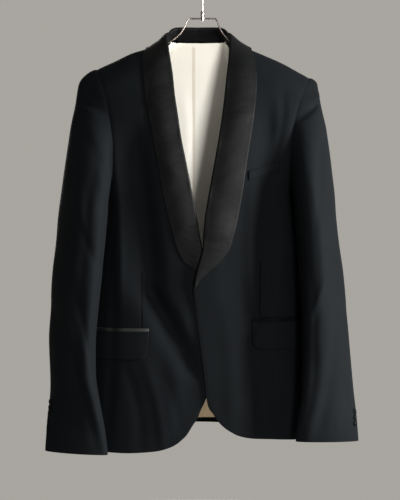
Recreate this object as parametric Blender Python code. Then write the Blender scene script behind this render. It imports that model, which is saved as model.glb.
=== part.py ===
"""Shawl collar tuxedo jacket hanging on a wire hanger.

Lengths in the tables are millimetres. X runs to the right as one faces the jacket's front, Y runs from
the front to the back, and Z runs up. The origin is the underside of the hanger hook, where a rail bears.
"""

import math
from collections import namedtuple

import bmesh
import bpy
from mathutils import Vector

MM = 0.001  # metres in a millimetre

# ---------------------------------------------------------------- cloth
WOOL = 1.6  # thickness of a wool panel with its interlining
SATIN = 1.6  # thickness of the shawl collar's satin and its canvas
LINING = 1.0
FLAP = 2.0
JET = 1.2
SEAM = 0.3  # gap between two pieces at a seam
LAP = 1.55  # gap between a piece and the panel it lies on

# ---------------------------------------------------------------- body
CENTRE_X = -8.0  # the jacket hangs a little off the hook's line
ROUNDNESS = 2.6  # power of the body's rounded-oblong cross sections
FRONT_ROLL = 55.0  # height over which the front rounds into the shoulder
BACK_ROLL = 60.0

Girth = namedtuple("Girth", "z left right front back")
GIRTHS = (  # half widths and depths of the body at each height
    Girth(-905, 222, 220, 89, 81),
    Girth(-800, 214, 214, 87, 77),
    Girth(-700, 203, 206, 84, 72),
    Girth(-640, 193, 200, 82, 69),
    Girth(-560, 184, 192, 82, 69),
    Girth(-500, 175, 187, 85, 74),
    Girth(-450, 170, 181.5, 87, 79),
    Girth(-428, 175, 179, 87, 80),
    Girth(-400, 183, 186, 86, 81),
    Girth(-350, 197, 206, 82, 81),
    Girth(-300, 214, 224, 75, 78),
    Girth(-250, 232, 238, 64, 72),
    Girth(-200, 244, 246, 50, 62),
    Girth(-160, 248, 248, 36, 52),
    Girth(-130, 250, 250, 26, 44),
    Girth(-80, 250, 250, 12, 40),
)

Shoulder = namedtuple("Shoulder", "reach left right")
SHOULDERS = (  # height of the shoulder line at each distance from the centre
    Shoulder(0, -84, -84),
    Shoulder(40, -92, -92),
    Shoulder(46, -100, -100),
    Shoulder(52, -113, -113),
    Shoulder(58, -128, -128),
    Shoulder(66, -136, -136),
    Shoulder(76, -145, -145),
    Shoulder(98, -157, -158),
    Shoulder(121, -164, -168),
    Shoulder(155, -180, -183),
    Shoulder(188, -195, -201),
    Shoulder(214, -208, -215),
    Shoulder(260, -232, -240),
)

Fold = namedtuple("Fold", "side top_x top_z foot_x foot_z width depth")
FRONT_FOLDS = (  # soft troughs, and ridges where the depth is negative
    Fold("left", -96, -300, -68, -600, 15, 7),
    Fold("left", -68, -590, -12, -770, 17, 6),
    Fold("left", -122, -330, -100, -640, 16, -4),
    Fold("left", -142, -300, -140, -520, 10, 4),
    Fold("left", -30, -620, -60, -860, 22, -3),
    Fold("right", 122, -250, 124, -420, 12, 5),
    Fold("right", 124, -400, 140, -560, 14, 4),
    Fold("right", 74, -600, 66, -780, 22, 4),
    Fold("right", 118, -700, 128, -880, 20, -4),
    Fold("right", 60, -640, 62, -840, 20, -3),
)
BACK_FOLDS = (
    Fold("left", -120, -300, -104, -520, 16, 5),
    Fold("left", -72, -480, -84, -860, 22, -4),
    Fold("left", -150, -560, -136, -860, 18, 5),
    Fold("right", 112, -290, 88, -540, 15, 5),
    Fold("right", 52, -520, 64, -850, 24, -4),
    Fold("right", 134, -580, 118, -870, 18, 5),
)

OVERLAP_LIFT = 8.5  # how far the right front stands off where it laps the left lapel
OVERLAP_LIFT_LOW = 5.0  # and further down, where it laps the left front alone

# ---------------------------------------------------------------- armholes
FRONT_SEAM_TURN = 135  # where the front's side seam meets the armhole, in degrees round it
BACK_SEAM_TURN = 225
Armhole = namedtuple("Armhole", "turn left left_z right right_z")
ARMHOLES = (  # distance from the centre and height; a turn of 0 is the shoulder point
    Armhole(0, 188, -195, 206, -211),
    Armhole(14, 183, -210, 202, -227),
    Armhole(28, 176, -230, 191, -250),
    Armhole(60, 163, -285, 177, -298),
    Armhole(92, 156, -345, 170, -345),
    Armhole(120, 156, -393, 168, -390),
    Armhole(135, 160, -410, 169, -409),
    Armhole(150, 167, -420, 171, -419),
    Armhole(180, 176, -428, 176, -428),
    Armhole(210, 171, -420, 172, -420),
    Armhole(225, 168, -410, 171, -410),
    Armhole(240, 171, -394, 174, -394),
    Armhole(270, 181, -345, 186, -345),
    Armhole(300, 185, -288, 193, -292),
    Armhole(332, 187, -230, 200, -244),
    Armhole(346, 188, -210, 204, -226),
    Armhole(360, 188, -195, 206, -211),
)
ARM_TURNS = (0, 5, 14, 28, 44, 60, 76, 92, 106, 120, 135, 150, 165, 180, 195, 210, 225, 240, 255,
             270, 285, 300, 316, 332, 346, 354, 358, 360)

# ---------------------------------------------------------------- fronts and hem
Corner = namedtuple("Corner", "x z")
LEFT_EDGE = (  # left front, from the hem's curve up to the collar's tip
    Corner(-42, -881), Corner(-31, -871), Corner(-18, -851), Corner(-8, -835), Corner(0, -812),
    Corner(6, -802), Corner(12, -780), Corner(17, -735), Corner(18, -690), Corner(16.5, -640),
    Corner(14.5, -606),
)
LEFT_HEM = (
    Corner(-42, -881), Corner(-53, -888), Corner(-75, -896), Corner(-105, -900),
    Corner(-141, -902), Corner(-178, -901),
)
RIGHT_EDGE = (
    Corner(43, -857), Corner(31, -846), Corner(22, -833), Corner(11.3, -815), Corner(6, -805),
    Corner(3.6, -794), Corner(3, -775), Corner(1, -730), Corner(-6, -665), Corner(-12, -640), Corner(-16, -610),
)
RIGHT_HEM = (
    Corner(43, -857), Corner(58, -866), Corner(70, -871), Corner(90, -875), Corner(120, -877),
    Corner(149, -878), Corner(178, -879),
)
SIDE_HEM = {"left": (-900, -884), "right": (-879, -872)}  # at the front and the back side seam
BACK_HEM = -862  # at the centre back

EDGE_SHARES = (0, 0.06, 0.13, 0.22, 0.45, 1)
SEAM_SHARES = (0, 0.05, 0.11, 0.18, 0.28, 0.4, 0.52, 0.64, 0.76, 0.88, 1)
HEM_SHARES = (0, 0.07, 0.15, 0.25, 0.36, 0.48, 0.61, 0.74, 0.87, 1)
RIDGE_SHARES = (0, 0.04, 0.09, 0.15, 0.24, 0.36, 0.5, 0.66, 0.83, 1)

# ---------------------------------------------------------------- shawl collar
Collar = namedtuple("Collar", "face fold_x fold_z edge_x edge_z inside lift")
LEFT_COLLAR = (  # from its tip up to the centre back; inside is how far it turns inwards
    Collar("front", 14, -592, 9, -595, 4.5, 0.0),
    Collar("front", 12, -577, 1, -581, 6, 0.2),
    Collar("front", 7, -560, -12, -569, 8, 0.3),
    Collar("front", 3, -545, -25, -561, 9, 0.5),
    Collar("front", 0, -530, -36, -550, 10, 0.8),
    Collar("front", -4, -508, -48, -524, 12, 1.5),
    Collar("front", -11, -466, -61, -476, 14, 3),
    Collar("front", -20, -420, -73, -424, 15, 4),
    Collar("front", -29, -375, -82, -372, 16, 4.5),
    Collar("front", -38, -330, -91, -323, 17, 5),
    Collar("front", -44, -290, -100, -281, 18, 5),
    Collar("front", -50, -250, -106, -243, 19, 5),
    Collar("front", -54, -212, -109, -209, 20, 4.5),
    Collar("front", -58.5, -182, -110, -186, 21, 4),
    Collar("front", -62.5, -159, -108, -169.5, 22, 3),
    Collar("front", -64.8, -143, -106.3, -161, 22, 2.5),
    Collar("front", -65.6, -134, -105.6, -158.3, 22, 2),
    Collar("front", -66, -128, -105, -156, 22, 2),
    Collar("back", -64, -124.6, -99, -157, 18, 2.5),
    Collar("back", -60, -119, -91, -160, 19, 3.5),
    Collar("back", -56, -115, -80, -162, 22, 4),
    Collar("back", -50, -112, -67, -164, 26, 4),
    Collar("back", -46, -111.6, -59, -164.8, 26, 4),
    Collar("back", -39, -111.2, -48, -165.6, 26.5, 4),
    Collar("back", -28, -111, -31, -166, 27, 4),
    Collar("back", -8, -111, -8, -166, 27, 4),
)
RIGHT_COLLAR = (
    Collar("front", -16, -597, -11, -600, 4.5, 0.0),
    Collar("front", -14, -583, -4, -587, 6, 0.2),
    Collar("front", -9, -563, 12, -572, 8, 0.5),
    Collar("front", -4, -546, 27, -559, 9, 0.8),
    Collar("front", 0, -529, 40, -543, 10, 1.2),
    Collar("front", 1, -508, 50, -526, 12, 2),
    Collar("front", 5, -466, 63, -477, 14, 3.5),
    Collar("front", 13, -420, 73, -421, 15, 4.5),
    Collar("front", 21, -375, 80, -373, 16, 5),
    Collar("front", 29, -330, 87, -328, 17, 5),
    Collar("front", 35, -290, 93, -288, 18, 5),
    Collar("front", 40, -250, 98, -250, 19, 5),
    Collar("front", 44, -212, 99, -213, 20, 4.5),
    Collar("front", 47.5, -182, 96, -188, 21, 4),
    Collar("front", 49.5, -159, 93, -171, 22, 3),
    Collar("front", 50, -143, 91, -162, 22, 2.5),
    Collar("front", 50, -134, 90.5, -158.8, 22, 2),
    Collar("front", 50, -128, 90, -156, 22, 2),
    Collar("back", 48, -124.6, 83, -157.5, 18, 2.5),
    Collar("back", 44, -119, 76, -160, 19, 3.5),
    Collar("back", 40, -115, 64, -162, 22, 4),
    Collar("back", 34, -112, 51, -164, 26, 4),
    Collar("back", 30, -111.6, 43, -164.8, 26, 4),
    Collar("back", 23, -111.2, 32, -165.6, 26.5, 4),
    Collar("back", 12, -111, 15, -166, 27, 4),
    Collar("back", -8, -111, -8, -166, 27, 4),
)
COLLARS = {"left": LEFT_COLLAR, "right": RIGHT_COLLAR}
RIDGE_ROW = 17  # the collar's row that lies on the shoulder line
TIP_ROWS = (0, 2, 4, 6, 7)  # its rows that the fronts' edges follow, up to the height of the underarm
TUCK = 3.7  # how far inside the fold a panel's edge ends
SHOULDER_BOW = (20, 80)  # rows this far below the shoulder line follow its bow wholly, and not at all
COLLAR_SHARES = (1.0, 0.82, 0.62, 0.42, 0.22)  # across the collar, from its outer edge
FOLD_ANGLES = (0, 60, 120, 180)

# ---------------------------------------------------------------- sleeves
Sleeve = namedtuple("Sleeve", "z x y long short turn")
LEFT_SLEEVE = (  # centre, half sizes and turn of each level section
    Sleeve(-195, -201, -3, 40, 23, 8),
    Sleeve(-226, -205, -5, 47, 27, 9),
    Sleeve(-263, -206, -8, 54, 31, 10),
    Sleeve(-304, -208, -12, 60, 37, 12),
    Sleeve(-350, -210, -20, 66, 40, 18),
    Sleeve(-407, -213, -32, 72, 42, 23),
    Sleeve(-462, -220.5, -42, 74, 39.5, 25),
    Sleeve(-514, -224, -48, 71, 39.5, 28),
    Sleeve(-567, -229.5, -54, 68, 40, 30),
    Sleeve(-647, -234.5, -64, 65, 35.5, 32),
    Sleeve(-696, -237.5, -70, 63, 34, 34),
    Sleeve(-752, -236, -76, 61, 31.5, 36),
    Sleeve(-803, -231.5, -82, 60, 27, 46),
    Sleeve(-867, -229.5, -88, 60, 25, 66),
    Sleeve(-900, -228.5, -90, 60.5, 21, 74),
)
RIGHT_SLEEVE = (
    Sleeve(-211, 192, -3, 40, 21, 5),
    Sleeve(-226, 192, -5, 46, 23, 5),
    Sleeve(-263, 193, -8, 54, 28, 6),
    Sleeve(-311, 196, -13, 62, 35, 8),
    Sleeve(-380, 200.5, -28, 72, 38, 11),
    Sleeve(-422, 204.5, -36, 76, 38, 12),
    Sleeve(-474, 209.5, -44, 75, 36, 12),
    Sleeve(-514, 213.5, -48, 72, 35.5, 14),
    Sleeve(-582, 220, -56, 68, 36, 20),
    Sleeve(-667, 224, -66, 65, 36, 27),
    Sleeve(-752, 226.5, -75, 62, 35, 38),
    Sleeve(-809, 227, -82, 61, 31, 50),
    Sleeve(-838, 226, -86, 61, 28, 60),
    Sleeve(-880, 225.5, -90, 60.5, 21, 74),
)
SLEEVES = {"left": LEFT_SLEEVE, "right": RIGHT_SLEEVE}
CUFF_OUTER = {"left": -897, "right": -879}  # height of the cuff at its outer edge
CUFF_INNER = {"left": -901, "right": -877}
CAP_END = -485  # below this the sleeve is a plain tube
CAP_SHARES = (0, 0.012, 0.035, 0.08, 0.15, 0.25, 0.37, 0.52, 0.68, 0.84, 1)
CAP_REACH = {"left": 0.08, "right": 0.035}  # share of the cap's height in which its top slopes out to the tube
CAP_CORNER = 7.0  # how sharp the corner is where it turns down
TUBE_ROWS = 10
FRONT_SLEEVE_SEAM = 120  # turns of the two long seams
BACK_SLEEVE_SEAM = 285
UNDERARM_STEP = 2.7  # how far outside the body the sleeve's edge lies under the arm

Crease = namedtuple("Crease", "side turn top_z foot_turn foot_z width depth")
SLEEVE_CREASES = (  # troughs along a sleeve; turn and width are degrees round it
    Crease("left", 22, -246, 66, -290, 14, 3),
    Crease("left", 35, -260, 20, -430, 14, 3),
    Crease("left", 10, -560, 60, -640, 20, 3),
    Crease("left", -20, -640, 30, -720, 18, 3),
    Crease("left", 50, -700, 20, -860, 22, 3),
    Crease("left", 200, -560, 250, -660, 22, 4),
    Crease("right", 40, -262, 62, -300, 14, 3),
    Crease("right", 50, -300, 40, -430, 14, 2.5),
    Crease("right", 20, -560, 62, -650, 20, 3),
    Crease("right", -15, -650, 30, -740, 18, 3),
    Crease("right", 55, -740, 30, -850, 22, 3),
    Crease("right", 210, -580, 255, -670, 22, 4),
)

# ---------------------------------------------------------------- small pieces
FLAP_LENGTH = 142.0  # measured round the body
FLAP_DROP = 50.0
FLAP_CORNER = 14.0  # radius of the flap's lower corners
JET_HEIGHT = 7.0
POCKETS = {"left": (-98, -682), "right": (91, -664)}  # x and z of the flap's front top corner
POCKET_SHARES = (0, 0.03, 0.065, 0.1, 0.24, 0.38, 0.52, 0.66, 0.8, 0.9, 0.935, 0.97, 1)
POCKET_RISE = {"left": 0.0, "right": 4.0}  # the mouth rises by this towards the side

WELT_ENDS = (Corner(84, -389), Corner(141, -371))  # its top edge, from the lapel outwards
WELT_HEIGHT = 17.0
WELT_LAP = 2.2

BUTTON_RADIUS = 5.0
BUTTON_DEPTH = 3.2
BUTTON_GAP = {"left": 0.9, "right": 0.6}  # between a button's back and the sleeve
BUTTON_TURN = {"left": 311, "right": 307}  # where the buttons sit round the cuff, before the back seam
BUTTON_PITCH = 10.3
LOWEST_BUTTON = {"left": -829.5, "right": -847.5}

# ---------------------------------------------------------------- lining
LINING_HEM_RISE = 5.5
LINING_NECK_GAP = 0.2  # below the collar's inner edge
LINING_INSET = 0.9
LINING_SHOULDER_DROP = 26.0
LINING_LAP = 1.8
PLEAT = 12.0  # how far the right half laps the left one at the centre pleat
PLEAT_STEP = 1.7

# ---------------------------------------------------------------- hanger
WIRE = 1.6  # radius of the hanger's wire
HOOK_RADIUS = 19.8
HOOK_FOOT = -92.0
HOOK_STEM = ((0, HOOK_FOOT), (0, -72), (0, -60), (-1.2, -50), (-6, -42))  # x and z up to the arch
HOOK_ARCH = (236, -28)  # angles at which the arch starts and ends
BAR_Z = -100.0
Bend = namedtuple("Bend", "x z")
LEFT_ARM = (
    Bend(-24, -100), Bend(-28, -104), Bend(-36, -121), Bend(-44, -131), Bend(-58, -142), Bend(-68, -146.5),
    Bend(-80, -150), Bend(-90, -154.7), Bend(-98, -158.2), Bend(-129, -168.2), Bend(-163, -184.4),
    Bend(-192, -197.6), Bend(-200, -201.7),
)
RIGHT_ARM = (
    Bend(24, -100), Bend(27, -104), Bend(34, -121), Bend(40, -130), Bend(50, -140), Bend(60, -147.5),
    Bend(72, -155.6), Bend(86, -160.8), Bend(113, -172.3), Bend(147, -187.4), Bend(176, -203.1),
    Bend(188, -209.6),
)
FERRULE_RADIUS = 3.3
FERRULE_END = 2.7  # its radius at both ends, inside the chamfers
FERRULE_CHAMFER = 1.1
FERRULE_TOP = -86.0
FERRULE_FOOT = -98.0

COLOURS = {  # base colour, roughness, metallic
    "wool": ((0.012, 0.014, 0.017), 0.85, 0.0),
    "satin": ((0.020, 0.021, 0.022), 0.42, 0.0),
    "lining": ((0.78, 0.76, 0.66), 0.5, 0.0),
    "chrome": ((0.78, 0.78, 0.79), 0.18, 1.0),
}


# ================================================================ sizes read between a table's rows
def read(table, key, column, at):
    """A table's column at a value of its key, on a smooth curve through the rows."""
    rows = sorted(table, key=lambda row: getattr(row, key))
    keys = [getattr(row, key) for row in rows]
    values = [getattr(row, column) for row in rows]
    if at <= keys[0]:
        return values[0]
    if at >= keys[-1]:
        return values[-1]
    i = max(n for n in range(len(keys) - 1) if keys[n] <= at)
    slopes = [slope_at(keys, values, n) for n in (i, i + 1)]
    span = keys[i + 1] - keys[i]
    s = (at - keys[i]) / span
    start = (1 + 2 * s) * (1 - s) ** 2 * values[i] + s * s * (3 - 2 * s) * values[i + 1]
    bend = s * (1 - s) ** 2 * slopes[0] - s * s * (1 - s) * slopes[1]
    return start + bend * span


def slope_at(keys, values, n):
    """Slope of the curve at one row, flat where the values turn back."""
    if n in (0, len(keys) - 1):
        a, b = (0, 1) if n == 0 else (len(keys) - 2, len(keys) - 1)
        return (values[b] - values[a]) / (keys[b] - keys[a])
    before = (values[n] - values[n - 1]) / (keys[n] - keys[n - 1])
    after = (values[n + 1] - values[n]) / (keys[n + 1] - keys[n])
    if before * after <= 0:
        return 0.0
    return 2 * before * after / (before + after)


def smooth(share):
    """0 to 1 with level ends."""
    share = min(max(share, 0.0), 1.0)
    return share * share * (3 - 2 * share)


def along(points, shares):
    """Points at the given shares of the length of a smooth curve through some points."""
    fine = []
    last = len(points) - 1
    for i in range(last):
        a = points[max(i - 1, 0)]
        b = points[i]
        c = points[i + 1]
        d = points[min(i + 2, last)]
        for step in range(12):
            fine.append(spline_point(a, b, c, d, step / 12))
    fine.append(points[last])
    lengths = [0.0]
    for a, b in zip(fine, fine[1:]):
        lengths.append(lengths[-1] + math.dist(a, b))
    return [at_length(fine, lengths, share * lengths[-1]) for share in shares]


def spline_point(a, b, c, d, s):
    return tuple(
        0.5 * (2 * q + (r - p) * s + (2 * p - 5 * q + 4 * r - t) * s * s + (3 * q - p - 3 * r + t) * s ** 3)
        for p, q, r, t in zip(a, b, c, d)
    )


def at_length(points, lengths, length):
    for i in range(len(points) - 1):
        if length <= lengths[i + 1] or i == len(points) - 2:
            span = lengths[i + 1] - lengths[i]
            s = (length - lengths[i]) / span if span else 0.0
            return tuple(p + (q - p) * s for p, q in zip(points[i], points[i + 1]))
    return points[-1]


def mix(a, b, share):
    return a + (b - a) * share


# ================================================================ the body's skin
def side_of(x):
    return "left" if x < CENTRE_X else "right"


def shoulder_z(x):
    return read(SHOULDERS, "reach", side_of(x), abs(x - CENTRE_X))


def fold_depth(folds, side, x, z):
    """How far the folds move the skin inwards at a point of a front or a back."""
    depth = 0.0
    for fold in folds:
        if fold.side != side:
            continue
        share = (fold.top_z - z) / (fold.top_z - fold.foot_z)
        across = x - mix(fold.top_x, fold.foot_x, share)
        fade = smooth(min(share + 0.25, 1.25 - share) / 0.4)
        depth += fold.depth * fade * math.exp(-((across / fold.width) ** 2))
    return depth


def lift(side, x, z):
    """How far the right front stands out over the left one."""
    if side == "left":
        return 0.0
    inner = 1 - smooth((x - 18) / 70)
    low = mix(OVERLAP_LIFT, OVERLAP_LIFT_LOW, smooth((-610 - z) / 60))
    return low * inner * smooth((-425 - z) / 70)


def depth_at(face, side, x, z):
    """Distance of the skin from the plane through the shoulders, without folds."""
    column, roll = ("front", FRONT_ROLL) if face == "front" else ("back", BACK_ROLL)
    across = min(abs(x - CENTRE_X) / read(GIRTHS, "z", side, z), 1.0)
    drop = min(max((shoulder_z(x) - z) / roll, 0.0), 1.0)
    round_off = math.sqrt(max(1 - (1 - drop) ** 2, 0.0))
    return read(GIRTHS, "z", column, z) * (1 - across ** ROUNDNESS) ** (1 / ROUNDNESS) * round_off


def skin(face, side, x, z):
    """A point of the body's outer surface."""
    depth = depth_at(face, side, x, z)
    fade = smooth(depth / 40)
    if face == "front":
        y = -depth + fade * fold_depth(FRONT_FOLDS, side, x, z) - lift(side, x, z)
    else:
        y = depth - fade * fold_depth(BACK_FOLDS, side, x, z)
    return Vector((x, y, z))


def skin_normal(face, side, x, z):
    """The outward direction there."""
    if shoulder_z(x) - z < 0.6:
        slope = (shoulder_z(x + 1) - shoulder_z(x - 1)) / 2
        return Vector((-slope, 0, 1)).normalized()
    half = read(GIRTHS, "z", side, z)
    if abs(x - CENTRE_X) > 0.995 * half:
        return Vector((math.copysign(1.0, x - CENTRE_X), 0, 0))
    step = 0.4
    to_side = skin(face, side, x + step, z) - skin(face, side, x - step, z)
    top = min(z + step, shoulder_z(x) - 0.1)
    upwards = skin(face, side, x, top) - skin(face, side, x, z - step)
    normal = to_side.cross(upwards).normalized()
    return normal if face == "front" else -normal


def ring_point(side, angle, z):
    """A point round the body: 90 degrees is the centre front, 0 the side and -90 the centre back."""
    power = 2 / ROUNDNESS
    half = read(GIRTHS, "z", side, z)
    reach = half * math.cos(math.radians(angle)) ** power
    sign = -1 if side == "left" else 1
    return CENTRE_X + sign * reach


def angle_of(share):
    """The angle round the body at which the skin is this share of the half width from the centre."""
    return math.degrees(math.acos(share ** (ROUNDNESS / 2)))


# ================================================================ armholes and side seams
def armhole(side, turn):
    """x and z of the armhole at a turn round it."""
    sign = -1 if side == "left" else 1
    z = read(ARMHOLES, "turn", side + "_z", turn)
    reach = read(ARMHOLES, "turn", side, turn)
    if turn in (0, 360):
        z = shoulder_z(CENTRE_X + sign * reach)
    if turn == 180:
        reach = read(GIRTHS, "z", side, z)
    return CENTRE_X + sign * reach, z


def seam_share(side, turn):
    """Share of the half width at which a side seam runs down from the armhole."""
    x, z = armhole(side, turn)
    return abs(x - CENTRE_X) / read(GIRTHS, "z", side, z)


def seam_points(side, turn):
    """x and z down a side seam, from the hem up to the armhole."""
    share = seam_share(side, turn)
    sign = -1 if side == "left" else 1
    foot = SIDE_HEM[side][0 if turn == FRONT_SEAM_TURN else 1]
    top = armhole(side, turn)[1]
    points = []
    for part in SEAM_SHARES:
        z = mix(foot, top, part)
        points.append((CENTRE_X + sign * share * read(GIRTHS, "z", side, z), z))
    points[-1] = armhole(side, turn)
    return points


# ================================================================ panels as grids
def patch(bottom, top, inner, outer):
    """Points inside four edges: rows from the bottom up, columns from the inner to the outer edge."""
    rows = []
    for i in range(len(inner)):
        v = i / (len(inner) - 1)
        row = []
        for j in range(len(bottom)):
            u = j / (len(bottom) - 1)
            point = []
            for k in (0, 1):
                edges = mix(bottom[j][k], top[j][k], v) + mix(inner[i][k], outer[i][k], u)
                corners = mix(mix(bottom[0][k], bottom[-1][k], u), mix(top[0][k], top[-1][k], u), v)
                point.append(edges - corners)
            row.append(tuple(point))
        rows.append(row)
    return rows


def inset(grid, gap):
    """Moves a grid's four edges inwards along its lines."""
    rows = len(grid)
    columns = len(grid[0])
    moved = [list(row) for row in grid]
    for j in range(columns):
        for edge, inside in ((0, 1), (rows - 1, rows - 2)):
            step = (grid[inside][j] - grid[edge][j]).normalized()
            moved[edge][j] = moved[edge][j] + step * gap
    for i in range(rows):
        for edge, inside in ((0, 1), (columns - 1, columns - 2)):
            step = (grid[i][inside] - grid[i][edge]).normalized()
            moved[i][edge] = moved[i][edge] + step * gap
    return moved


def shell(name, outer, inner, material):
    """A closed wall between two grids of points."""
    rows = len(outer)
    columns = len(outer[0])
    points = [p * MM for row in outer for p in row] + [p * MM for row in inner for p in row]
    back = rows * columns
    faces = []
    for i in range(rows - 1):
        for j in range(columns - 1):
            a = i * columns + j
            b = a + 1
            c = a + columns + 1
            d = a + columns
            faces.append((a, b, c, d))
            faces.append((back + d, back + c, back + b, back + a))
    rim = [j for j in range(columns)]
    rim += [i * columns + columns - 1 for i in range(1, rows)]
    rim += [(rows - 1) * columns + j for j in range(columns - 2, -1, -1)]
    rim += [i * columns for i in range(rows - 2, 0, -1)]
    for a, b in zip(rim, rim[1:] + rim[:1]):
        faces.append((b, a, back + a, back + b))
    return add_mesh(name, points, faces, material)


def add_mesh(name, points, faces, material):
    """A smooth-shaded object whose faces point outwards."""
    mesh = bpy.data.meshes.new(name)
    mesh.from_pydata([tuple(p) for p in points], [], faces)
    shape = bmesh.new()
    shape.from_mesh(mesh)
    bmesh.ops.recalc_face_normals(shape, faces=shape.faces)
    if shape.calc_volume(signed=True) < 0:
        bmesh.ops.reverse_faces(shape, faces=shape.faces)
    shape.to_mesh(mesh)
    shape.free()
    mesh.materials.append(material)
    mesh.shade_smooth()
    mesh.set_sharp_from_angle(angle=math.radians(50))
    piece = bpy.data.objects.new(name, mesh)
    bpy.context.collection.objects.link(piece)
    return piece


def panel(name, face, side, plan, thickness, material, gap=SEAM / 2, depth=0.0):
    """A cloth wall over a plan of x and z points on the body's skin, moved in by a depth."""
    skins = [[skin(face, side, x, z) for x, z in row] for row in plan]
    normals = [[skin_normal(face, side, x, z) for x, z in row] for row in plan]
    placed = [
        [p - n * depth for p, n in zip(skin_row, normal_row)]
        for skin_row, normal_row in zip(skins, normals)
    ]
    outer = inset(placed, gap)
    inner = [
        [p - n * thickness for p, n in zip(point_row, normal_row)]
        for point_row, normal_row in zip(outer, normals)
    ]
    return shell(name, outer, inner, material)


def collar_place(row, across):
    """x and z at a distance from the collar's fold; by the shoulder it follows the shoulder line's bow."""
    share = across / math.dist((row.fold_x, row.fold_z), (row.edge_x, row.edge_z))
    x = mix(row.fold_x, row.edge_x, share)
    z = mix(row.fold_z, row.edge_z, share)
    bow = shoulder_z(x) - mix(shoulder_z(row.fold_x), shoulder_z(row.edge_x), share)
    drop = shoulder_z(row.fold_x) - row.fold_z
    near = 1 - smooth((drop - SHOULDER_BOW[0]) / (SHOULDER_BOW[1] - SHOULDER_BOW[0]))
    return x, z + bow * near


def fold_edge(rows):
    """The panels' edge under the collar: its fold, moved a little inside it."""
    return [collar_place(row, TUCK) for row in rows]


def ridge(side):
    """Points of the shoulder seam from the neck out to the armhole."""
    neck = collar_place(COLLARS[side][RIDGE_ROW], TUCK)[0]
    tip = armhole(side, 0)[0]
    points = []
    for share in RIDGE_SHARES:
        x = mix(neck, tip, share)
        points.append((x, shoulder_z(x)))
    return points


def front_plan(side):
    edge, hem = (LEFT_EDGE, LEFT_HEM) if side == "left" else (RIGHT_EDGE, RIGHT_HEM)
    collar = COLLARS[side]
    seam = seam_points(side, FRONT_SEAM_TURN)
    bottom = along([tuple(p) for p in hem] + [seam[0]], HEM_SHARES)
    inner = along([tuple(p) for p in edge], EDGE_SHARES)
    inner += fold_edge([collar[i] for i in TIP_ROWS])
    inner += fold_edge(collar[TIP_ROWS[-1] + 1:RIDGE_ROW + 1])
    top = ridge(side)
    inner[-1] = top[0]
    turns = [turn for turn in ARM_TURNS if turn < FRONT_SEAM_TURN]
    outer = seam + [armhole(side, turn) for turn in reversed(turns)]
    return patch(bottom, top, inner, outer)


def back_hem(side, columns):
    """The back's hem from the centre to the side seam."""
    seam = seam_points(side, BACK_SEAM_TURN)[0]
    points = []
    for i in range(columns + 1):
        share = i / columns
        points.append((mix(CENTRE_X, seam[0], share), mix(BACK_HEM, seam[1], smooth(share))))
    return points


def centre_line(foot, top, outer):
    """Points up the centre back, spaced as the outer edge's points are in height."""
    rise = outer[-1][1] - outer[0][1]
    return [(CENTRE_X, mix(foot, top, (z - outer[0][1]) / rise)) for _, z in outer]


def back_plan(side):
    neck = fold_edge(reversed(COLLARS[side][RIDGE_ROW + 1:]))
    top = neck + ridge(side)
    seam = seam_points(side, BACK_SEAM_TURN)
    turns = [turn for turn in ARM_TURNS if turn > BACK_SEAM_TURN]
    outer = seam + [armhole(side, turn) for turn in turns]
    bottom = back_hem(side, len(top) - 1)
    return patch(bottom, top, centre_line(bottom[0][1], top[0][1], outer), outer)


def side_rows(side):
    """Angle round the body and height of the side body's points."""
    start = angle_of(seam_share(side, FRONT_SEAM_TURN))
    end = -angle_of(seam_share(side, BACK_SEAM_TURN))
    turns = [turn for turn in ARM_TURNS if FRONT_SEAM_TURN <= turn <= BACK_SEAM_TURN]
    rows = []
    for part in SEAM_SHARES:
        row = []
        for i, turn in enumerate(turns):
            share = i / (len(turns) - 1)
            foot = mix(SIDE_HEM[side][0], SIDE_HEM[side][1], smooth(share))
            x, top = armhole(side, turn)
            top_angle = angle_of(min(abs(x - CENTRE_X) / read(GIRTHS, "z", side, top), 1.0))
            angle = mix(start, end, share)
            if part == 1:
                angle = top_angle if turn < 180 else -top_angle
            row.append((angle, mix(foot, top, part)))
        rows.append(row)
    return rows


def make_side(side, material):
    outer = []
    normals = []
    for row in side_rows(side):
        points = []
        ways = []
        for angle, z in row:
            face = "front" if angle > 0 else "back"
            x = ring_point(side, angle, z)
            points.append(skin(face, side, x, z))
            ways.append(skin_normal(face, side, x, z))
        outer.append(points)
        normals.append(ways)
    outer = inset(outer, SEAM / 2)
    inner = [[p - n * WOOL for p, n in zip(*pair)] for pair in zip(outer, normals)]
    return shell("side_" + side, outer, inner, material)


# ================================================================ shawl collar
def collar_section(row):
    """Distance from the fold and height over the panel of the collar's middle line, with its normals."""
    width = math.dist((row.fold_x, row.fold_z), (row.edge_x, row.edge_z))
    radius = LAP + (SATIN + WOOL) / 2
    centre = SATIN / 2 + radius
    flat = max(width, centre + 0.6)
    section = []
    for share in COLLAR_SHARES:
        across = centre + (flat - centre) * share
        puff = row.lift * math.sin(math.pi * share) ** 1.2 if share < 1 else 0.0
        section.append((across, LAP + SATIN / 2 + puff, 0.0, 1.0))
    for degrees in FOLD_ANGLES:
        a = math.radians(degrees)
        across = centre - radius * math.sin(a)
        height = radius * math.cos(a) - WOOL / 2
        section.append((across, height, -math.sin(a), math.cos(a)))
    for share in (0.5, 1):
        inside = mix(centre, max(row.inside, centre + 0.6), share)
        section.append((inside, -radius - WOOL / 2, 0.0, -1.0))
    return section


def collar_point(row, side, across, height):
    """A point at a distance from the collar's fold and a height over the body's skin."""
    x, z = collar_place(row, across)
    return skin(row.face, side, x, z) + skin_normal(row.face, side, x, z) * height


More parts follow.
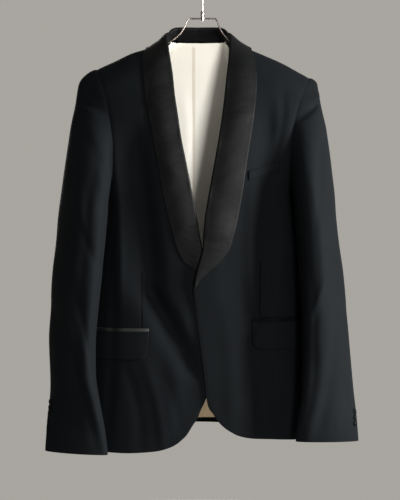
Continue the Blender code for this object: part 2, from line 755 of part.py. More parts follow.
def make_collar(side, material):
    outer = []
    inner = []
    for row in COLLARS[side]:
        visible = []
        hidden = []
        for across, height, turn_across, turn_height in collar_section(row):
            half = SATIN / 2
            visible.append(collar_point(row, side, across + turn_across * half, height + turn_height * half))
            hidden.append(collar_point(row, side, across - turn_across * half, height - turn_height * half))
        outer.append(visible)
        inner.append(hidden)
    sign = -1 if side == "left" else 1
    for grid in (outer, inner):
        for point in grid[-1]:
            point.x = CENTRE_X + sign * SEAM / 2
    return shell("shawl_collar_" + side, outer, inner, material)


# ================================================================ sleeves
def sleeve_centre(side, z):
    table = SLEEVES[side]
    return {column: read(table, "z", column, z) for column in ("x", "y", "long", "short", "turn")}


def crease_depth(side, turn, z):
    depth = 0.0
    for crease in SLEEVE_CREASES:
        if crease.side != side:
            continue
        share = (crease.top_z - z) / (crease.top_z - crease.foot_z)
        middle = mix(crease.turn, crease.foot_turn, share)
        across = (turn - middle + 180) % 360 - 180
        fade = smooth(min(share + 0.3, 1.3 - share) / 0.5)
        depth += crease.depth * fade * math.exp(-((across / crease.width) ** 2))
    return depth


def tube_point(side, turn, z, out=0.0):
    """A point of the sleeve's tube: a turn of 0 is its outer side, 90 its front."""
    size = sleeve_centre(side, z)
    sign = -1 if side == "left" else 1
    way = math.radians(size["turn"])
    outwards = Vector((sign * math.cos(way), -math.sin(way), 0))
    forwards = Vector((-sign * math.sin(way), -math.cos(way), 0))
    a = math.radians(turn)
    move = out - crease_depth(side, turn, z)
    level = Vector((size["x"], size["y"], z))
    return level + outwards * (size["short"] + move) * math.cos(a) + forwards * (size["long"] + move) * math.sin(a)


def cuff_z(side, turn):
    inner_share = (1 + math.sin(math.radians(turn))) / 2
    return mix(CUFF_OUTER[side], CUFF_INNER[side], inner_share)


def sleeve_point(side, turn, row):
    """A point of the sleeve: the first rows are its cap, the rest its tube down to the cuff."""
    if row < len(CAP_SHARES):
        part = CAP_SHARES[row]
        x, top = armhole(side, turn % 360)
        seam = armhole_skin(side, turn)
        low = (1 - math.cos(math.radians(turn))) / 2
        slope = part / CAP_REACH[side]
        corner = slope / (1 + slope ** CAP_CORNER) ** (1 / CAP_CORNER)
        blend = mix(corner, 1 - (1 - part) ** 2.2, smooth(low / 0.35))
        tube = tube_point(side, turn, mix(top, CAP_END, part))
        return seam.lerp(tube, blend)
    part = (row - len(CAP_SHARES) + 1) / TUBE_ROWS
    return tube_point(side, turn, mix(CAP_END, cuff_z(side, turn), part))


def armhole_face(turn):
    return "front" if turn % 360 < 180 else "back"


def underarm(turn):
    """0 over the top of an armhole and 1 under the arm, where the sleeve turns back down beside the body."""
    return smooth(((1 - math.cos(math.radians(turn))) / 2 - 0.6) / 0.3)


def armhole_skin(side, turn):
    """The sleeve's edge: on the body's skin, and just outside it under the arm."""
    x, z = armhole(side, turn % 360)
    face = armhole_face(turn)
    return skin(face, side, x, z) + skin_normal(face, side, x, z) * UNDERARM_STEP * underarm(turn)


def sleeve_grids(side, turns):
    """Outer points and normals of the sleeve between two of its turns."""
    last = len(CAP_SHARES) + TUBE_ROWS
    points = [[sleeve_point(side, turn, row) for turn in turns] for row in range(last)]
    normals = []
    step = 2.0
    for row in range(last):
        ways = []
        for i, turn in enumerate(turns):
            round_way = sleeve_point(side, turn + step, row) - sleeve_point(side, turn - step, row)
            below = points[min(row + 1, last - 1)][i]
            above = points[max(row - 1, 0)][i]
            way = round_way.cross(below - above).normalized()
            size = sleeve_centre(side, points[row][i].z)
            middle = Vector((size["x"], size["y"], points[row][i].z - 30))
            way = way if way.dot(points[row][i] - middle) > 0 else -way
            if row == 0:
                x, z = armhole(side, turn % 360)
                body_way = skin_normal(armhole_face(turn), side, x, z)
                way = body_way.lerp(way, underarm(turn)).normalized()
            ways.append(way)
        normals.append(ways)
    return points, normals


def make_sleeve(name, side, turns, material):
    points, normals = sleeve_grids(side, turns)
    outer = inset(points, SEAM / 2)
    inner = [[p - n * WOOL for p, n in zip(*pair)] for pair in zip(outer, normals)]
    return shell(name, outer, inner, material)


def upper_turns():
    before = [turn - 360 for turn in ARM_TURNS if BACK_SLEEVE_SEAM <= turn < 360]
    return before + [turn for turn in ARM_TURNS if turn <= FRONT_SLEEVE_SEAM]


def under_turns():
    return [turn for turn in ARM_TURNS if FRONT_SLEEVE_SEAM <= turn <= BACK_SLEEVE_SEAM]


# ================================================================ pockets, welt and buttons
def round_body(side, start_x, z, lengths):
    """Angles round the body at the given lengths from a point of the front."""
    angle = angle_of(abs(start_x - CENTRE_X) / read(GIRTHS, "z", side, z))
    step = 0.5
    walked = 0.0
    before = skin("front", side, ring_point(side, angle, z), z)
    angles = []
    for length in lengths:
        while walked < length:
            angle -= step
            face = "front" if angle > 0 else "back"
            point = skin(face, side, ring_point(side, abs(angle), z), z)
            walked += (point - before).length
            before = point
        angles.append(angle)
    return angles


def pocket_piece(name, side, top, drops, thickness, off, material):
    """A piece on the hip, from the front corner of the pocket round to the side."""
    start_x, start_z = POCKETS[side]
    lengths = [FLAP_LENGTH * share for share in POCKET_SHARES]
    angles = round_body(side, start_x, start_z, lengths)
    outer = []
    inner = []
    for share in (0, 0.5, 1):
        outer_row = []
        inner_row = []
        for length, angle in zip(lengths, angles):
            rise = POCKET_RISE[side] * length / FLAP_LENGTH
            z = start_z + rise + top - drops(length) * share
            face = "front" if angle > 0 else "back"
            x = ring_point(side, abs(angle), z)
            base = skin(face, side, x, z)
            way = skin_normal(face, side, x, z)
            inner_row.append(base + way * off)
            outer_row.append(base + way * (off + thickness))
        outer.append(outer_row)
        inner.append(inner_row)
    return shell(name, outer, inner, material)


def flap_drop(length):
    """The flap's height at a distance from its front end: its lower corners are round."""
    inside = min(length, FLAP_LENGTH - length)
    if inside >= FLAP_CORNER:
        return FLAP_DROP
    return FLAP_DROP - FLAP_CORNER + math.sqrt(FLAP_CORNER ** 2 - (FLAP_CORNER - inside) ** 2)


def make_pocket(side, wool, satin):
    pocket_piece("pocket_flap_" + side, side, -SEAM, flap_drop, FLAP, LAP, wool)
    pocket_piece("pocket_jet_" + side, side, JET_HEIGHT, lambda length: JET_HEIGHT, JET, LAP, satin)


def make_welt(material):
    count = 5
    outer = []
    inner = []
    for share in (0, 0.5, 1):
        outer_row = []
        inner_row = []
        for i in range(count + 1):
            x = mix(WELT_ENDS[0].x, WELT_ENDS[1].x, i / count)
            z = mix(WELT_ENDS[0].z, WELT_ENDS[1].z, i / count) - WELT_HEIGHT * share
            base = skin("front", "right", x, z)
            way = skin_normal("front", "right", x, z)
            inner_row.append(base + way * WELT_LAP)
            outer_row.append(base + way * (WELT_LAP + WOOL))
        outer.append(outer_row)
        inner.append(inner_row)
    shell("breast_welt", outer, inner, material)


def make_button(side, number, material):
    """A domed button, its back a little off the sleeve."""
    z = LOWEST_BUTTON[side] + BUTTON_PITCH * (number - 1)
    turn = BUTTON_TURN[side]
    base = tube_point(side, turn, z)
    round_way = tube_point(side, turn + 2, z) - tube_point(side, turn - 2, z)
    up = tube_point(side, turn, z + 2) - tube_point(side, turn, z - 2)
    way = round_way.cross(up).normalized()
    size = sleeve_centre(side, z)
    if way.dot(base - Vector((size["x"], size["y"], z))) < 0:
        way = -way
    up = up.normalized()
    across = way.cross(up)
    profile = ((0.0, 0.0), (0.86, 0.0), (1.0, 0.3), (1.0, 0.6), (0.8, 0.88), (0.45, 1.0), (0.0, 1.06))
    sides = 12
    points = [base + way * BUTTON_GAP[side]]
    rings = []
    for share, height in profile[1:-1]:
        ring = []
        for i in range(sides):
            a = 2 * math.pi * i / sides
            spoke = across * math.cos(a) + up * math.sin(a)
            ring.append(len(points))
            points.append(points[0] + spoke * BUTTON_RADIUS * share + way * BUTTON_DEPTH * height)
        rings.append(ring)
    points.append(points[0] + way * BUTTON_DEPTH * profile[-1][1])
    faces = []
    for lower, upper in zip(rings, rings[1:]):
        for i in range(sides):
            k = (i + 1) % sides
            faces.append((lower[i], lower[k], upper[k], upper[i]))
    for i in range(sides):
        k = (i + 1) % sides
        faces.append((0, rings[0][k], rings[0][i]))
        faces.append((len(points) - 1, rings[-1][i], rings[-1][k]))
    add_mesh(f"sleeve_button_{side}_{number}", [p * MM for p in points], faces, material)


# ================================================================ lining
def lining_plan(side):
    """The back's plan, ending short of the hem, the collar and the shoulder seam."""
    neck = []
    for row in reversed(COLLARS[side][RIDGE_ROW + 1:]):
        neck.append((row.fold_x, row.fold_z - row.inside - LINING_NECK_GAP))
    shoulder = []
    for x, z in ridge(side)[1:]:
        shoulder.append((x, z - LINING_SHOULDER_DROP))
    top = neck + shoulder
    seam = seam_points(side, BACK_SEAM_TURN)
    turns = [turn for turn in ARM_TURNS if BACK_SEAM_TURN < turn < 350]
    outer = seam + [armhole(side, turn) for turn in turns]
    outer[0] = (outer[0][0], outer[0][1] + LINING_HEM_RISE)
    outer[-1] = top[-1]
    bottom = [(x, z + LINING_HEM_RISE) for x, z in back_hem(side, len(top) - 1)]
    return patch(bottom, top, centre_line(bottom[0][1], top[0][1], outer), outer)


def make_lining(side, material):
    """The lining's right half laps the left one at the centre pleat."""
    plan = lining_plan(side)
    skins = []
    normals = []
    for row in plan:
        points = []
        ways = []
        for x, z in row:
            near = 1 - smooth(abs(x - CENTRE_X) / 30)
            if side == "right":
                x = x - PLEAT * near
            way = skin_normal("back", side_of(x) if near > 0.5 else side, x, z)
            depth = WOOL + LINING_LAP
            if side == "right":
                depth += PLEAT_STEP * smooth(1.6 * near)
            points.append(skin("back", side, x, z) - way * depth)
            ways.append(way)
        skins.append(points)
        normals.append(ways)
    outer = inset(skins, LINING_INSET)
    inner = [[p - n * LINING for p, n in zip(*pair)] for pair in zip(outer, normals)]
    return shell("back_lining_" + side, outer, inner, material)


# ================================================================ hanger
def wire(name, path, radius, material, sides=8):
    """A round wire along a path, with flat ends."""
    points = []
    up = Vector((0, 1, 0))
    for i, point in enumerate(path):
        before = path[max(i - 1, 0)]
        after = path[min(i + 1, len(path) - 1)]
        way = (after - before).normalized()
        across = way.cross(up).normalized()
        for k in range(sides):
            a = 2 * math.pi * k / sides
            points.append(point + (across * math.cos(a) + up * math.sin(a)) * radius)
    faces = []
    for i in range(len(path) - 1):
        for k in range(sides):
            n = (k + 1) % sides
            a = i * sides
            b = a + sides
            faces.append((a + k, a + n, b + n, b + k))
    faces.append(tuple(range(sides)))
    faces.append(tuple(range(len(points) - 1, len(points) - 1 - sides, -1)))
    return add_mesh(name, [p * MM for p in points], faces, material)


def make_hook(material):
    """A stem that swings out, round over the rail and back down to the hook's open end."""
    centre = Vector((0, 0, -HOOK_RADIUS + WIRE))
    path = [Vector((x, 0, z)) for x, z in HOOK_STEM]
    steps = 22
    for i in range(steps + 1):
        a = math.radians(mix(*HOOK_ARCH, i / steps))
        path.append(centre + Vector((math.cos(a), 0, math.sin(a))) * HOOK_RADIUS)
    path.append(path[-1] + Vector((1.5, 0, -5)))
    wire("hanger_hook", path, WIRE, material)


def make_ferrule(material):
    """A turned collar that holds the hook, with a bead under the bar."""
    sides = 16
    profile = (
        (WIRE + SEAM, FERRULE_TOP), (FERRULE_END, FERRULE_TOP),
        (FERRULE_RADIUS, FERRULE_TOP - FERRULE_CHAMFER), (FERRULE_RADIUS, FERRULE_FOOT + FERRULE_CHAMFER),
        (FERRULE_END, FERRULE_FOOT), (0.0, FERRULE_FOOT),
        (0.0, HOOK_FOOT - SEAM), (WIRE + SEAM, HOOK_FOOT - SEAM),
    )
    points = []
    faces = []
    rings = []
    for radius, z in profile:
        if radius == 0.0:
            rings.append([len(points)] * sides)
            points.append(Vector((0, 0, z)))
            continue
        rings.append(list(range(len(points), len(points) + sides)))
        for k in range(sides):
            a = 2 * math.pi * k / sides
            points.append(Vector((radius * math.cos(a), radius * math.sin(a), z)))
    for i in range(len(rings)):
        lower = rings[i]
        upper = rings[(i + 1) % len(rings)]
        for k in range(sides):
            n = (k + 1) % sides
            corners = [lower[k], lower[n], upper[n], upper[k]]
            face = tuple(dict.fromkeys(corners))
            if len(face) > 2:
                faces.append(face)
    add_mesh("hanger_ferrule", [p * MM for p in points], faces, material)


def make_frame(material):
    """The bar under the ferrule and the two arms inside the shoulders, bent from one wire."""
    steps = 18
    shares = [i / steps for i in range(steps + 1)]
    left = along([tuple(p) for p in reversed(LEFT_ARM)], shares)
    right = along([tuple(p) for p in RIGHT_ARM], shares)
    path = [Vector((x, 0, z)) for x, z in left]
    path += [Vector((x, 0, BAR_Z)) for x in (-12, 0, 12)]
    path += [Vector((x, 0, z)) for x, z in right]
    wire("hanger_frame", path, WIRE, material)


# ================================================================ the whole
def new_material(name):
    colour, roughness, metallic = COLOURS[name]
    material = bpy.data.materials.new(name)
    material.use_nodes = True
    shader = material.node_tree.nodes["Principled BSDF"]
    shader.inputs["Base Color"].default_value = (*colour, 1)
    shader.inputs["Roughness"].default_value = roughness
    shader.inputs["Metallic"].default_value = metallic
    return material


def main():
    for piece in list(bpy.data.objects):
        bpy.data.objects.remove(piece, do_unlink=True)
    wool = new_material("wool")
    satin = new_material("satin")
    lining = new_material("lining")
    chrome = new_material("chrome")
    for side in ("left", "right"):
        panel("front_" + side, "front", side, front_plan(side), WOOL, wool)
        panel("back_" + side, "back", side, back_plan(side), WOOL, wool)
        make_side(side, wool)
        make_sleeve("upper_sleeve_" + side, side, upper_turns(), wool)
        make_sleeve("under_sleeve_" + side, side, under_turns(), wool)
        make_collar(side, satin)
        make_lining(side, lining)
        make_pocket(side, wool, satin)
        for number in (1, 2, 3):
            make_button(side, number, satin)
    make_welt(wool)
    make_frame(chrome)
    make_ferrule(chrome)
    make_hook(chrome)


main()
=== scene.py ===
"""The looks of a shawl collar tuxedo jacket that hangs on a wire hanger.

Lengths in the tables are millimetres and stay so until a mesh is made, but those of the finishes and
the studio are metres. X runs to the right as one faces the jacket, Y from its front to its back and Z up.
Left and right are as one faces it.
"""

import math
from collections import namedtuple

import bpy
import numpy as np
from mathutils import Matrix, Vector


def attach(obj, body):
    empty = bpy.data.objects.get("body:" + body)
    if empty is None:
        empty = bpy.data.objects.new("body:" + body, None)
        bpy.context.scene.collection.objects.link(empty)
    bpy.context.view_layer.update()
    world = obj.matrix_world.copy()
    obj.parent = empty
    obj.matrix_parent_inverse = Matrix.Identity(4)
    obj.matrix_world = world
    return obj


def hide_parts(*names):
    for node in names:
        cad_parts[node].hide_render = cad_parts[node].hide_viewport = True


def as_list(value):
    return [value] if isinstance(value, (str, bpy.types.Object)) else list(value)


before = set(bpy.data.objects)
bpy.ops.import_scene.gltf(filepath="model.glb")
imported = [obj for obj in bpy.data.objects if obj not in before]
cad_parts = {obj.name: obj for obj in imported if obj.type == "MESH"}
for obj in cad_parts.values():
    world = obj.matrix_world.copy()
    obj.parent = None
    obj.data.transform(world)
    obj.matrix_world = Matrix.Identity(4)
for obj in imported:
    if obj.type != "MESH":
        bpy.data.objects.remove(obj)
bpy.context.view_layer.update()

MM = 0.001  # metres in a millimetre


def rows_of(kind, *rows):
    """A table's rows, each with its columns named."""
    return tuple(kind(*row) for row in rows)


def by_side(kind, left, right):
    return {"left": rows_of(kind, *left), "right": rows_of(kind, *right)}


# ---------------------------------------------------------------- cloth
WOOL = 1.6  # thickness of a wool panel with its interlining
SATIN = 1.6  # thickness of the shawl collar's satin and its canvas
LINING = 1.0
FLAP = 2.0
JET = 1.2
SEAM = 0.3  # gap between two pieces at a seam
LAP = 1.55  # gap between a piece and the panel it lies on

# ---------------------------------------------------------------- body
CENTRE_X = -8.0  # the jacket hangs a little off the hook's line
ROUNDNESS = 2.6  # power of the body's rounded-oblong cross sections
FRONT_ROLL = 55.0  # height over which the front rounds into the shoulder
BACK_ROLL = 60.0

Girth = namedtuple("Girth", "z left right front back")
GIRTHS = rows_of(  # half widths and depths of the body at each height
    Girth,
    (-905, 222, 220, 89, 81), (-800, 214, 214, 87, 77), (-700, 203, 206, 84, 72),
    (-640, 193, 200, 82, 69), (-560, 184, 192, 82, 69), (-500, 175, 187, 85, 74),
    (-450, 170, 181.5, 87, 79), (-428, 175, 179, 87, 80), (-400, 183, 186, 86, 81),
    (-350, 197, 206, 82, 81), (-300, 214, 224, 75, 78), (-250, 232, 238, 64, 72),
    (-200, 244, 246, 50, 62), (-160, 248, 248, 36, 52), (-130, 250, 250, 26, 44),
    (-80, 250, 250, 12, 40),
)

Shoulder = namedtuple("Shoulder", "reach left right")
SHOULDERS = rows_of(  # height of the shoulder line at each distance from the centre
    Shoulder,
    (0, -84, -84), (40, -92, -92), (46, -100, -100), (52, -113, -113), (58, -128, -128),
    (66, -136, -136), (76, -145, -145), (98, -157, -158), (121, -164, -168), (155, -180, -183),
    (188, -195, -201), (214, -208, -215), (260, -232, -240),
)

Fold = namedtuple("Fold", "top_x top_z foot_x foot_z width depth")
FRONT_FOLDS = by_side(  # soft troughs, and ridges where the depth is negative
    Fold,
    left=(
        (-121, -340, -91, -600, 20, 15), (-92, -606, -20, -742, 15, 15),
        (-166, -330, -150, -600, 14, -3), (-30, -620, -60, -860, 22, -3),
    ),
    right=(
        (120, -290, 124, -510, 19, 10), (122, -510, 112, -660, 17, 7), (74, -600, 66, -780, 22, 4),
        (103, -715, 120, -885, 20, 9), (60, -640, 62, -840, 20, -3),
    ),
)
BACK_FOLDS = by_side(
    Fold,
    left=(
        (-120, -300, -104, -520, 16, 5), (-72, -480, -84, -860, 22, -4),
        (-150, -560, -136, -860, 18, 5),
    ),
    right=(
        (112, -290, 88, -540, 15, 5), (52, -520, 64, -850, 24, -4), (134, -580, 118, -870, 18, 5),
    ),
)

OVERLAP_LIFT = 8.5  # how far the right front stands off where it laps the left lapel
OVERLAP_LIFT_LOW = 5.0  # and further down, where it laps the left front alone

# ---------------------------------------------------------------- armholes
FRONT_SEAM_TURN = 135  # where the front's side seam meets the armhole, in degrees round it
BACK_SEAM_TURN = 225
Armhole = namedtuple("Armhole", "turn left left_z right right_z")
ARMHOLES = rows_of(  # distance from the centre and height; a turn of 0 is the shoulder point
    Armhole,
    (0, 188, -195, 206, -211), (14, 183, -210, 202, -227), (28, 176, -230, 191, -250),
    (60, 163, -285, 177, -298), (92, 156, -345, 170, -345), (120, 156, -393, 168, -390),
    (135, 160, -410, 169, -409), (150, 167, -420, 171, -419), (180, 176, -428, 176, -428),
    (210, 171, -420, 172, -420), (225, 168, -410, 171, -410), (240, 171, -394, 174, -394),
    (270, 181, -345, 186, -345), (300, 185, -288, 193, -292), (332, 187, -230, 200, -244),
    (346, 188, -210, 204, -226), (360, 188, -195, 206, -211),
)
ARM_TURNS = (0, 5, 14, 28, 44, 60, 76, 92, 106, 120, 135, 150, 165, 180, 195, 210, 225, 240, 255,
             270, 285, 300, 316, 332, 346, 354, 358, 360)

# ---------------------------------------------------------------- fronts and hem
Corner = namedtuple("Corner", "x z")
LEFT_EDGE = rows_of(  # left front, from the hem's curve up to the collar's tip
    Corner,
    (-42, -881), (-31, -871), (-18, -851), (-8, -835), (0, -812), (6, -802), (12, -780), (17, -735),
    (18, -690), (16.5, -640), (14.5, -606),
)
LEFT_HEM = rows_of(
    Corner,
    (-42, -881), (-53, -888), (-75, -896), (-105, -900), (-141, -902), (-178, -901),
)
RIGHT_EDGE = rows_of(
    Corner,
    (43, -857), (31, -846), (22, -833), (11.3, -815), (6, -805), (3.6, -794), (3, -775), (1, -730),
    (-6, -665), (-12, -640), (-16, -610),
)
RIGHT_HEM = rows_of(
    Corner,
    (43, -857), (58, -866), (70, -871), (90, -875), (120, -877), (149, -878), (178, -879),
)
SIDE_HEM = {"left": (-900, -884), "right": (-879, -872)}  # at the front and the back side seam
BACK_HEM = -862  # at the centre back

EDGE_SHARES = (0, 0.06, 0.13, 0.22, 0.45, 1)
SEAM_SHARES = (0, 0.05, 0.11, 0.18, 0.28, 0.4, 0.52, 0.64, 0.76, 0.88, 1)
HEM_SHARES = (0, 0.07, 0.15, 0.25, 0.36, 0.48, 0.61, 0.74, 0.87, 1)
RIDGE_SHARES = (0, 0.04, 0.09, 0.15, 0.24, 0.36, 0.5, 0.66, 0.83, 1)

# ---------------------------------------------------------------- shawl collar
Collar = namedtuple("Collar", "fold_x fold_z edge_x edge_z inside lift")
LEFT_COLLAR = rows_of(  # from its tip up to the centre back; inside is how far it turns inwards
    Collar,
    (14, -592, 9, -595, 4.5, 0.0), (12, -577, 1, -581, 6, 0.2), (7, -560, -12, -569, 8, 0.3),
    (3, -545, -25, -561, 9, 0.5), (0, -530, -36, -550, 10, 0.8), (-4, -508, -48, -524, 12, 1.5),
    (-11, -466, -61, -476, 14, 3), (-20, -420, -73, -424, 15, 4), (-29, -375, -82, -372, 16, 4.5),
    (-38, -330, -91, -323, 17, 5), (-44, -290, -100, -281, 18, 5), (-50, -250, -106, -243, 19, 5),
    (-54, -212, -109, -209, 20, 4.5), (-58.5, -182, -110, -186, 21, 4),
    (-62.5, -159, -108, -169.5, 22, 3), (-64.8, -143, -106.3, -161, 22, 2.5),
    (-65.6, -134, -105.6, -158.3, 22, 2), (-66, -128, -105, -156, 22, 2),
    (-64, -124.6, -99, -157, 18, 2.5), (-60, -119, -91, -160, 19, 3.5), (-56, -115, -80, -162, 22, 4),
    (-50, -112, -67, -164, 26, 4), (-46, -111.6, -59, -164.8, 26, 4),
    (-39, -111.2, -48, -165.6, 26.5, 4), (-28, -111, -31, -166, 27, 4), (-8, -111, -8, -166, 27, 4),
)
RIGHT_COLLAR = rows_of(
    Collar,
    (-16, -597, -11, -600, 4.5, 0.0), (-14, -583, -4, -587, 6, 0.2), (-9, -563, 12, -572, 8, 0.5),
    (-4, -546, 27, -559, 9, 0.8), (0, -529, 40, -543, 10, 1.2), (1, -508, 50, -526, 12, 2),
    (5, -466, 63, -477, 14, 3.5), (13, -420, 73, -421, 15, 4.5), (21, -375, 80, -373, 16, 5),
    (29, -330, 87, -328, 17, 5), (35, -290, 93, -288, 18, 5), (40, -250, 98, -250, 19, 5),
    (44, -212, 99, -213, 20, 4.5), (47.5, -182, 96, -188, 21, 4), (49.5, -159, 93, -171, 22, 3),
    (50, -143, 91, -162, 22, 2.5), (50, -134, 90.5, -158.8, 22, 2), (50, -128, 90, -156, 22, 2),
    (48, -124.6, 83, -157.5, 18, 2.5), (44, -119, 76, -160, 19, 3.5), (40, -115, 64, -162, 22, 4),
    (34, -112, 51, -164, 26, 4), (30, -111.6, 43, -164.8, 26, 4), (23, -111.2, 32, -165.6, 26.5, 4),
    (12, -111, 15, -166, 27, 4), (-8, -111, -8, -166, 27, 4),
)
COLLARS = {"left": LEFT_COLLAR, "right": RIGHT_COLLAR}
RIDGE_ROW = 17  # the collar's row that lies on the shoulder line
TIP_ROWS = (0, 2, 4, 6, 7)  # its rows that the fronts' edges follow, up to the height of the underarm
TUCK = 3.7  # how far inside the fold a panel's edge ends
SHOULDER_BOW = (20, 80)  # rows this far below the shoulder line follow its bow wholly, and not at all

# ---------------------------------------------------------------- sleeves
Sleeve = namedtuple("Sleeve", "z x y long short turn")
LEFT_SLEEVE = rows_of(  # centre, half sizes and turn of each level section
    Sleeve,
    (-195, -201, -3, 40, 23, 8), (-226, -205, -5, 47, 27, 9), (-263, -206, -8, 54, 31, 10),
    (-304, -208, -12, 60, 37, 12), (-350, -210, -20, 66, 40, 18), (-407, -213, -32, 72, 42, 23),
    (-462, -220.5, -42, 74, 39.5, 25), (-514, -224, -48, 71, 39.5, 28), (-567, -229.5, -54, 68, 40, 30),
    (-647, -234.5, -64, 65, 35.5, 32), (-696, -237.5, -70, 63, 34, 34), (-752, -236, -76, 61, 31.5, 36),
    (-803, -231.5, -82, 60, 27, 46), (-867, -229.5, -88, 60, 25, 66), (-900, -228.5, -90, 60.5, 21, 74),
)
RIGHT_SLEEVE = rows_of(
    Sleeve,
    (-211, 192, -3, 40, 21, 5), (-226, 192, -5, 46, 23, 5), (-263, 193, -8, 54, 28, 6),
    (-311, 196, -13, 62, 35, 8), (-380, 200.5, -28, 72, 38, 11), (-422, 204.5, -36, 76, 38, 12),
    (-474, 209.5, -44, 75, 36, 12), (-514, 213.5, -48, 72, 35.5, 14), (-582, 220, -56, 68, 36, 20),
    (-667, 224, -66, 65, 36, 27), (-752, 226.5, -75, 62, 35, 38), (-809, 227, -82, 61, 31, 50),
    (-838, 226, -86, 61, 28, 60), (-880, 225.5, -90, 60.5, 21, 74),
)
SLEEVES = {"left": LEFT_SLEEVE, "right": RIGHT_SLEEVE}
CUFF_OUTER = {"left": -897, "right": -879}  # height of the cuff at its outer edge
CUFF_INNER = {"left": -901, "right": -877}
CAP_END = -485  # below this the sleeve is a plain tube
CAP_SHARES = (0, 0.012, 0.035, 0.08, 0.15, 0.25, 0.37, 0.52, 0.68, 0.84, 1)
CAP_REACH = {"left": 0.08, "right": 0.035}  # share of the cap's height in which its top slopes out
CAP_CORNER = 7.0  # how sharp the corner is where it turns down
TUBE_ROWS = 10
FRONT_SLEEVE_SEAM = 120  # turns of the two long seams
BACK_SLEEVE_SEAM = 285
UNDERARM_STEP = 2.7  # how far outside the body the sleeve's edge lies under the arm

Crease = namedtuple("Crease", "turn top_z foot_turn foot_z width depth")
SLEEVE_CREASES = by_side(  # troughs along a sleeve; turn and width are degrees round it
    Crease,
    left=(
        (22, -246, 66, -290, 14, 3), (35, -260, 20, -430, 14, 3), (10, -560, 60, -640, 20, 3),
        (-20, -640, 30, -720, 18, 3), (50, -700, 20, -860, 22, 3), (200, -560, 250, -660, 22, 4),
    ),
    right=(
        (40, -262, 62, -300, 14, 3), (50, -300, 40, -430, 14, 2.5), (20, -560, 62, -650, 20, 3),
        (-15, -650, 30, -740, 18, 3), (55, -740, 30, -850, 22, 3), (210, -580, 255, -670, 22, 4),
    ),
)

# ---------------------------------------------------------------- small pieces
FLAP_LENGTH = 142.0  # measured round the body
FLAP_DROP = 50.0
FLAP_CORNER = 14.0  # radius of the flap's lower corners
JET_HEIGHT = 7.0
POCKETS = {"left": (-98, -682), "right": (91, -664)}  # x and z of the flap's front top corner
POCKET_SHARES = (0, 0.03, 0.065, 0.1, 0.24, 0.38, 0.52, 0.66, 0.8, 0.9, 0.935, 0.97, 1)
POCKET_RISE = {"left": 0.0, "right": 4.0}  # the mouth rises by this towards the side

WELT_ENDS = (Corner(84, -389), Corner(141, -371))  # its top edge, from the lapel outwards
WELT_HEIGHT = 17.0

BUTTON_RADIUS = 5.0
BUTTON_DEPTH = 3.2
BUTTON_GAP = {"left": 0.9, "right": 0.6}  # between a button's back and the sleeve
BUTTON_TURN = {"left": 311, "right": 307}  # where they sit round the cuff, in front of the back seam
BUTTON_PITCH = 10.3
LOWEST_BUTTON = {"left": -829.5, "right": -847.5}

# ---------------------------------------------------------------- lining
LINING_HEM_RISE = 5.5
LINING_NECK_GAP = 0.2  # below the collar's inner edge
LINING_INSET = 0.9
LINING_SHOULDER_DROP = 26.0
LINING_LAP = 1.8
PLEAT = 12.0  # how far the right half laps the left one at the centre pleat
PLEAT_STEP = 1.7

# ---------------------------------------------------------------- hanger
WIRE = 1.6  # radius of the hanger's wire
HOOK_RADIUS = 19.8
HOOK_FOOT = -92.0
HOOK_STEM = ((0, HOOK_FOOT), (0, -72), (0, -60), (-1.2, -50), (-6, -42))  # x and z up to the arch
HOOK_ARCH = (236, -28)  # angles at which the arch starts and ends
HOOK_STEPS = 22  # round the arch
HOOK_FINER = 4  # and between two of its points
HOOK_TIP = (1.5, -5)  # how far it runs on past the arch
BAR_Z = -100.0
BAR_REACH = 22.0
BAR_POINTS = 12
ARM_POINTS = 60
Bend = namedtuple("Bend", "x z")
LEFT_ARM = rows_of(
    Bend,
    (-24, -100), (-28, -104), (-36, -121), (-44, -131), (-58, -142), (-68, -146.5), (-80, -150),
    (-90, -154.7), (-98, -158.2), (-129, -168.2), (-163, -184.4), (-192, -197.6), (-200, -201.7),
)
RIGHT_ARM = rows_of(
    Bend,
    (24, -100), (27, -104), (34, -121), (40, -130), (50, -140), (60, -147.5), (72, -155.6),
    (86, -160.8), (113, -172.3), (147, -187.4), (176, -203.1), (188, -209.6),
)
FERRULE_RADIUS = 3.3
FERRULE_ROUND = 0.9  # radius of its rounded ends
FERRULE_TOP = -86.0
FERRULE_FOOT = -98.0

# ---------------------------------------------------------------- looks
MEASURE_STEPS = 12  # between two points of a curve whose length is measured
Steps = namedtuple("Steps", "down across")
FRONT_STEPS = Steps(8, 7)  # of the finer grids, between two rows and two columns of the tables
BACK_STEPS = Steps(8, 5)
SIDE_STEPS = Steps(10, 6)
CAP_STEPS = 6  # down a sleeve's cap, which has its tube's columns
TUBE_STEPS = Steps(9, 5)
LINING_STEPS = Steps(6, 5)
COLLAR_STEPS = 9
POCKET_STEPS = 5
COLLAR_COLUMNS = 22  # across the satin that shows
FOLD_COLUMNS = 11  # round its fold
INSIDE_COLUMNS = 8  # and inside it
FLAP_ROWS = 16
JET_ROWS = 9
WELT_GRID = (9, 36)  # rows and columns
HIP_WALK = (-80, -0.25)  # the angle at which the walk round the hip ends, and its step
CENTRE_DROP = (0, 0, 30)  # a sleeve's cloth faces away from its middle this far below
PROBE = 0.4  # how far from a point the skin is felt for its direction
ON_RIDGE = 0.6  # nearer than this to the shoulder line it points square to that line
AT_SIDE = 0.995  # beyond this share of the half width it points straight outwards
FOLD_ENDS = (0.25, 0.4)  # shares of its length: how far a fold runs past its ends and fades there
WAVE_ENDS = (0.3, 0.6)
CREASE_ENDS = (0.3, 0.5)
RIM_SHARES = (0.2, 0.6)  # where across a wall's rim its points lie
RIM_BULGE = 0.16  # how far they stand out, as a share of the thickness
LEAST_FLAT = 0.6  # least width of the satin beside its fold
CENTRE_GAP = 0.02  # between each half of the collar and the centre back
TIP_TRIM = 0.2  # how far short of its table the collar's tip ends
